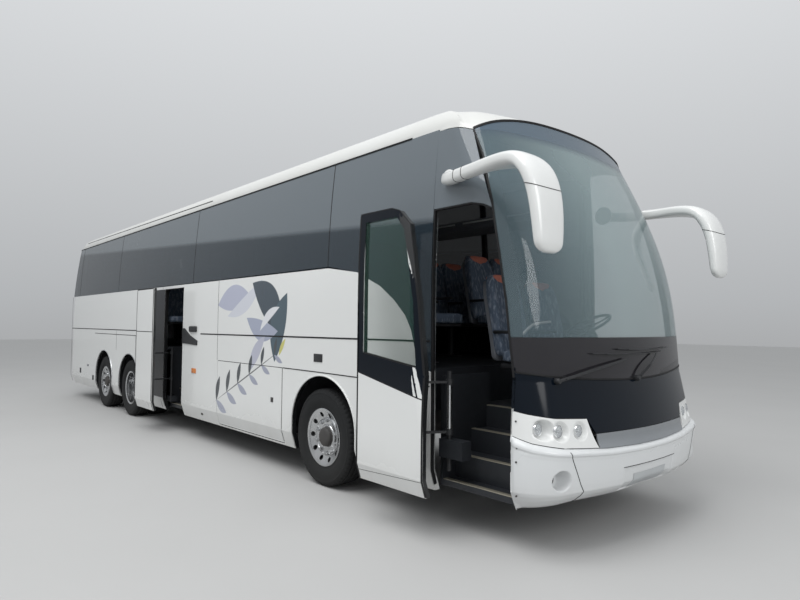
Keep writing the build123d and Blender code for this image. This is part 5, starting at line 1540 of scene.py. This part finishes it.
for x, y in ((1.80, -0.38), (1.48, 0.64)):
    under = seatSize["platformZ"] + 0.34
    frameParts.append(roundBox((at(x) + 0.20, y, under + 0.02), (0.40, 0.38, 0.06), 0.02, None, 2))
    frameParts.append(roundBox((at(x) + 0.18, y, (seatSize["platformZ"] + under) / 2),
        (0.20, 0.16, under - seatSize["platformZ"]), 0.03, None, 2))
fronts = piece("crew_cushions", [soft, head], [cloth, trimCloth], replaces="front_seats",
    sharp=80)
piece("crew_seat_frames", [hard, frameParts], [greyPlastic, plastic])
print("seats ready")

# Driver's place: the steering wheel and the dashboard with its hood
steer = dict(at=(1.96, 0.64, 1.69), tilt=28, ring=0.225, grip=0.0145)
lean = turnY(-steer["tilt"])
centre = np.array([at(steer["at"][0]), steer["at"][1], steer["at"][2]])
a = np.linspace(0, 2 * np.pi, 97)[:-1]
rim = np.stack([steer["ring"] * np.cos(a), steer["ring"] * np.sin(a), 0 * a], -1) @ lean.T + centre
wheelParts = sweep(rim, roundProfile(2 * steer["grip"], n=14), lean[:, 2], closed=True)
for turn in (20, 160, 270):
    c, s = math.cos(math.radians(turn)), math.sin(math.radians(turn))
    spoke = np.array([(c * r, s * r, h) for r, h in ((0.03, -0.012), (0.08, -0.014), (0.15, -0.010),
        (0.215, 0.0))]) @ lean.T + centre
    wheelParts += sweep(spoke, roundProfile(0.040, 0.014, 12, 3), lean[:, 2])
hubPoints, hubQuads = lathe([(0.0, 0.012), (0.045, 0.010), (0.062, -0.004), (0.060, -0.030), (0.0, -0.034)],
    (0, 0, 0), 48, "z")
wheelParts.append((hubPoints @ lean.T + centre, hubQuads))
column = np.array([(0, 0, -0.03), (0, 0, -0.15), (0, 0, -0.28)]) @ lean.T + centre
wheelParts += sweep(column, roundProfile(0.075, n=20), (0, 1, 0))
piece("driver_wheel", wheelParts, plastic, replaces="steering_wheel", sharp=50)
dress(dashSkin, "dashboard")
t = np.linspace(0, 1, 16)
hoodLine = np.stack([at(2.12 + 0.30 * t), np.full(16, 0.64), 1.40 + 0.085 * np.sin(np.pi * t)**0.8], -1)
hood = sweep(hoodLine, roundProfile(0.62, 0.020, 32, 3.0), (0, 0, 1))
dials = [lathe([(0.0, -0.004), (0.050, -0.004), (0.052, -0.010), (0.058, -0.010), (0.060, 0.0), (0.0, 0.0)],
    (at(2.082), 0.64 + dy, 1.22), 40, "x") for dy in (-0.16, 0.0, 0.16)]
switches = [roundBox((at(2.076), 0.30 + 0.045 * k, 1.24), (0.012, 0.032, 0.022), 0.003, None,
    2) for k in range(5)]
s = np.linspace(-1.06, 1.16, 60)
ridge = planPoint(s, np.full(60, 1.405), nose, -0.17)
hood += sweep(ridge, roundProfile(0.20, 0.17, 24, 2.6), (0, 0, 1))
piece("dash_hood", hood + dials + switches, plastic)

# Mirrors: an arm that runs forward and a head that hangs from its end, with the glass facing back
# Columns of the rings: station, y, z, width across, depth
mirror = dict(rings=np.array([
    (1.800, 1.240, 2.900, 0.105, 0.105), (1.960, 1.310, 2.880, 0.105, 0.105),
    (2.280, 1.385, 2.878, 0.110, 0.100),
    (2.500, 1.405, 2.876, 0.185, 0.105), (2.685, 1.410, 2.848, 0.285, 0.115),
    (2.808, 1.412, 2.765, 0.340, 0.122),
    (2.880, 1.412, 2.610, 0.332, 0.120), (2.912, 1.412, 2.400, 0.308, 0.110),
    (2.922, 1.412, 2.170, 0.262, 0.092)]),
    square=0.70, steps=120, around=48, glasses=((0.640, 0.785), (0.805, 0.955)),
    seams=((17, 0.0), (22, 0.0), (88, 0.7)))  # row of each seam and its fall forward for each metre of depth


def smoothLine(points, n):
    # a natural cubic through the points, by solving for their second derivatives
    points = np.asarray(points, float)
    if points.ndim == 1:
        points = points[:, None]
    m = len(points)
    matrix = np.eye(m) * 4 + np.eye(m, k=1) + np.eye(m, k=-1)
    matrix[0, :2], matrix[-1, -2:] = (1, 0), (0, 1)
    right = np.zeros_like(points)
    right[1:-1] = 6 * (points[2:] - 2 * points[1:-1] + points[:-2])
    bend = np.linalg.solve(matrix, right)
    t = np.linspace(0, m - 1, n)
    k = np.minimum(t.astype(int), m - 2)
    f = (t - k)[:, None]
    return ((1 - f) * points[k] + f * points[k + 1] - f * (1 - f) / 6
        * ((2 - f) * bend[k] + (1 + f) * bend[k + 1]))


def ringPoints(place, across, deep, side, out):
    # a superellipse: cosine and sine raised to a power under one square the corners
    a = np.arange(mirror["around"]) / mirror["around"] * 2 * np.pi
    c, s = (np.sign(v) * np.abs(v)**mirror["square"] for v in (np.cos(a), np.sin(a)))
    return place[..., None, :] + (across / 2)[..., None, None] * c[:, None] * side[..., None, :] + (deep
        / 2)[..., None, None] * s[:, None] * out[..., None, :]


n = mirror["steps"]
ringLine = smoothLine(mirror["rings"], n)
path, across, deep = ringLine[:, :3] + (coach["frontAxle"], 0, 0), ringLine[:, 3], ringLine[:, 4]
tangent = np.gradient(path, axis=0)
tangent /= np.linalg.norm(tangent, axis=1, keepdims=True)
sideways = np.array((0, 1.0, 0)) - tangent * tangent[:, 1:2]
sideways /= np.linalg.norm(sideways, axis=1, keepdims=True)
outward = np.cross(sideways, tangent)
capEnd = np.ones(n)
capEnd[-7:] = (1 - np.linspace(0, 0.93, 7)**3)**0.5
head = ringPoints(path, across * capEnd, deep * capEnd, sideways, outward)
headShape = [grid(np.concatenate([head[:1].mean(1, keepdims=True) + 0 * head[:1], head,
    head[-1:].mean(1, keepdims=True) + 0 * head[-1:]]), wrapV=True)]
foot = lathe([(0.0, 0.0), (0.098, 0.0), (0.100, 0.010), (0.092, 0.022), (0.075, 0.032), (0.0, 0.032)],
    (at(1.80), 1.200, 2.90), 48, "y")


def onHead(rows, columns, out, thick):
    # a patch of the head's own surface, moved out from a point inside the head
    p = head[rows[0]:rows[1], columns[0]:columns[1]]
    inside = tuple(p.mean((0, 1)) + (0.08, 0, 0))
    return shell(p + out * gridNormal(p, inside), thick, inside)


ribs, glassParts = [], []
step = np.linalg.norm(np.diff(path, axis=0), axis=1).mean()
for k, fall in mirror["seams"]:
    row = k - fall * ((head[k] - path[k]) @ outward[k]) / step
    low, part = row.astype(int), (row % 1)[:, None]
    column = np.arange(mirror["around"])
    rib = (1 - part) * head[low, column] + part * head[low + 1, column]
    ribs += sweep(rib, roundProfile(0.006, n=8), tangent[k], closed=True)
for low, high in mirror["glasses"]:
    rows = (int(low * n), int(high * n))
    ribs += onHead((rows[0] - 1, rows[1] + 1), (6, 19), 0.0015, 0.004)
    glassParts += onHead(rows, (7, 18), 0.0035, 0.004)
piece("mirror_arms", headShape + [foot] + mirrored(headShape + [foot]), paint, replaces="mirrors",
    sharp=60)
piece("mirror_seams", ribs + mirrored(ribs), gasket)
piece("mirror_glasses", glassParts + mirrored(glassParts), mirrorFace)

# Wipers: arms and blades just ahead of the black panel and the glass. Columns: pivot way and z, blade rows
wiper = dict(rows=[((-1.008, 1.276), (-0.200, 1.425), (-0.638, 0.412, 1.460)),
    ((-0.060, 1.262), (0.30, 1.455), (-0.324, 0.576, 1.492))])
wiperParts = []
for (ps, pz), (ts, tz), (b0, b1, bz) in wiper["rows"]:
    t = np.linspace(0, 1, 40)
    arm = onNose(mix(ps, ts, t), mix(pz, tz, t) + 0.01 * np.sin(np.pi * t),
        0.030 + 0.022 * np.sin(np.pi * t))
    wiperParts += sweep(arm, roundProfile(0.026, 0.014, 12, 3), onNose(ps, pz, 1.0) - onNose(ps, pz, 0.0),
        scale=mix(1.0, 0.6, t))
    spring = arm[3:20] + 0.010 * (onNose(ps, pz, 1.0) - onNose(ps, pz, 0.0))
    wiperParts += sweep(spring, roundProfile(0.010, n=8))
    s = np.linspace(b0, b1, 60)
    sag = bz + 0.012 * ((s - (b0 + b1) / 2) / (b1 - b0) * 2)**2
    blade = onNose(s, sag, 0.010)
    wiperParts += sweep(blade, bar(0.007, 0.020, 0.3), onNose(s, sag, 1.0) - blade)
    s = np.linspace(mix(b0, b1, 0.15), mix(b0, b1, 0.85), 40)
    bridge = onNose(s, np.interp(s, np.linspace(b0, b1, 60), sag), 0.032)
    wiperParts += sweep(bridge, roundProfile(0.012, 0.010, 10), (0, 0, 1))
    hubPath = onNose(ps, pz, np.array([-0.004, 0.010, 0.034, 0.046]))
    wiperParts += sweep(hubPath, roundProfile(0.044, n=24), (0, 0, 1), scale=[1.1, 1.1, 1.0, 0.7])
piece("wiper_arms", wiperParts, plastic, replaces="wipers", sharp=45)

# Inside: ceiling lining, parcel racks over the seats and a grab rod behind the windscreen
xs = np.linspace(-9.7, 1.35, 40)[:, None]
yy = np.linspace(-1.05, 1.05, 25)[None, :]
lining = np.stack([at(xs) + 0 * yy, yy + 0 * xs, 3.395 + 0.18 * np.cos(yy / 1.05 * 1.35) + 0 * xs], -1)
piece("ceiling_lining", shell(lining, 0.006, (0, 0, 5.0)), ceiling)
rackTray = np.array([(1.168, 2.868), (0.700, 2.848), (0.640, 2.856), (0.604, 2.888), (0.596, 2.960),
    (0.610, 2.964),
                     (0.618, 2.896), (0.648, 2.870), (0.700, 2.862), (1.168, 2.882)])
rack, edgeLine = [], []
for side in (-1, 1):
    x = at(np.linspace(-9.6, 1.4, 30))[:, None]
    tray = np.stack([x + 0 * rackTray[:, 0], side * rackTray[:, 0] + 0 * x, rackTray[:, 1] + 0 * x], -1)
    middle = [np.broadcast_to(tray[k].mean(0), tray[k].shape)[None] for k in (0, -1)]
    rack.append(grid(np.concatenate([middle[0], tray, middle[1]]), wrapV=True))
    for start, end in ((-9.5, -5.2), (-4.9, -1.55), (-1.43, 0.13), (0.27, 1.38)):
        path = np.stack([at(np.linspace(start, end, 8)), np.full(8, side * 0.594), np.full(8, 2.930)], -1)
        edgeLine += sweep(path, roundProfile(0.012, 0.022, 10, 3), (0, 0, 1))
piece("parcel_trays", [rack, edgeLine], [greyPlastic, paint])
rod = smoothLine([(-1.288, 1.598, 0.16), (-1.20, 1.640, 0.17), (-1.05, 1.690, 0.18), (-0.84, 1.714, 0.20)],
    40)
rodPath = np.stack([planPoint(s, z, nose, -o) for s, z, o in rod])
piece("grab_rod", sweep(rodPath, roundProfile(0.022, n=12)), paint)
print("inside ready")

# The picture: a pale floor, soft studio light and the photograph's viewpoint
stageSet = dict(eye=(9.0691, -4.8117, 1.6726), yaw=41.109, pitch=2.449, roll=0.518, lens=27.152)
yaw, pitch, roll = (math.radians(stageSet[k]) for k in ("yaw", "pitch", "roll"))
view = np.array([-math.cos(pitch) * math.cos(yaw), math.cos(pitch) * math.sin(yaw), math.sin(pitch)])
across = np.cross(view, (0, 0, 1.0))
across /= np.linalg.norm(across)
above = np.cross(across, view)
acrossR = across * math.cos(roll) + above * math.sin(roll)
aboveR = above * math.cos(roll) - across * math.sin(roll)
lens = bpy.data.cameras.new("camera")
lens.lens, lens.sensor_width, lens.clip_end = stageSet["lens"], 36, 200
camera = bpy.data.objects.new("camera", lens)
bpy.context.scene.collection.objects.link(camera)
camera.matrix_world = Matrix(((acrossR[0], aboveR[0], -view[0], stageSet["eye"][0]),
    (acrossR[1], aboveR[1], -view[1], stageSet["eye"][1]),
                              (acrossR[2], aboveR[2], -view[2], stageSet["eye"][2]), (0, 0, 0, 1)))
bpy.context.scene.camera = camera
bpy.context.scene.view_settings.view_transform = "Standard"

floorMaterial = finish("paleFloor", (0.46, 0.46, 0.455), (0.42, 0.42, 0.415), 0.85, 0.05, scale=0.6,
    mottle=0.7, grain=0.6, bump=0.05)
u = np.linspace(-1, 1, 41)
gx, gy = np.meshgrid(u, u, indexing="ij")
floorGrid = grid(np.stack([60 * gx, 60 * gy, 0 * gx], -1))
floorMesh = bpy.data.meshes.new("floor")
floorMesh.from_pydata(floorGrid[0].tolist(), [], floorGrid[1].tolist())
floorMesh.materials.append(floorMaterial)
floor = bpy.data.objects.new("floor", floorMesh)
bpy.context.scene.collection.objects.link(floor)

world = bpy.data.worlds.new("studio")
bpy.context.scene.world = world
world.use_nodes = True
sky = world.node_tree
up = sky.nodes.new("ShaderNodeSeparateXYZ")
sky.links.new(sky.nodes.new("ShaderNodeTexCoord").outputs["Generated"], up.inputs[0])
ramp = sky.nodes.new("ShaderNodeValToRGB")
sky.links.new(calc(sky, "ADD", calc(sky, "MULTIPLY", up.outputs[2], 0.5), 0.5), ramp.inputs[0])
ramp.color_ramp.elements[0].position, ramp.color_ramp.elements[0].color = 0.42, (0.34, 0.34, 0.34, 1)
ramp.color_ramp.elements[1].position, ramp.color_ramp.elements[1].color = 0.52, (0.50, 0.515, 0.53, 1)
high = ramp.color_ramp.elements.new(0.75)
high.color = (0.80, 0.82, 0.84, 1)
sky.links.new(ramp.outputs[0], sky.nodes["Background"].inputs[0])
sky.nodes["Background"].inputs[1].default_value = 0.9


def softLight(name, place, aim, size, power):
    # a round area light that faces its aim
    data = bpy.data.lights.new(name, "AREA")
    data.shape, data.size, data.energy = "DISK", size, power
    lamp = bpy.data.objects.new(name, data)
    lamp.location = place
    lamp.rotation_euler = (Vector(aim) - Vector(place)).to_track_quat("-Z", "Y").to_euler()
    bpy.context.scene.collection.objects.link(lamp)


softLight("overhead", (4, -7, 14), (1, 0, 1), 12, 1500)
softLight("front_fill", (16, -3, 6), (5, 0, 1.2), 6, 380)
print("stage ready")
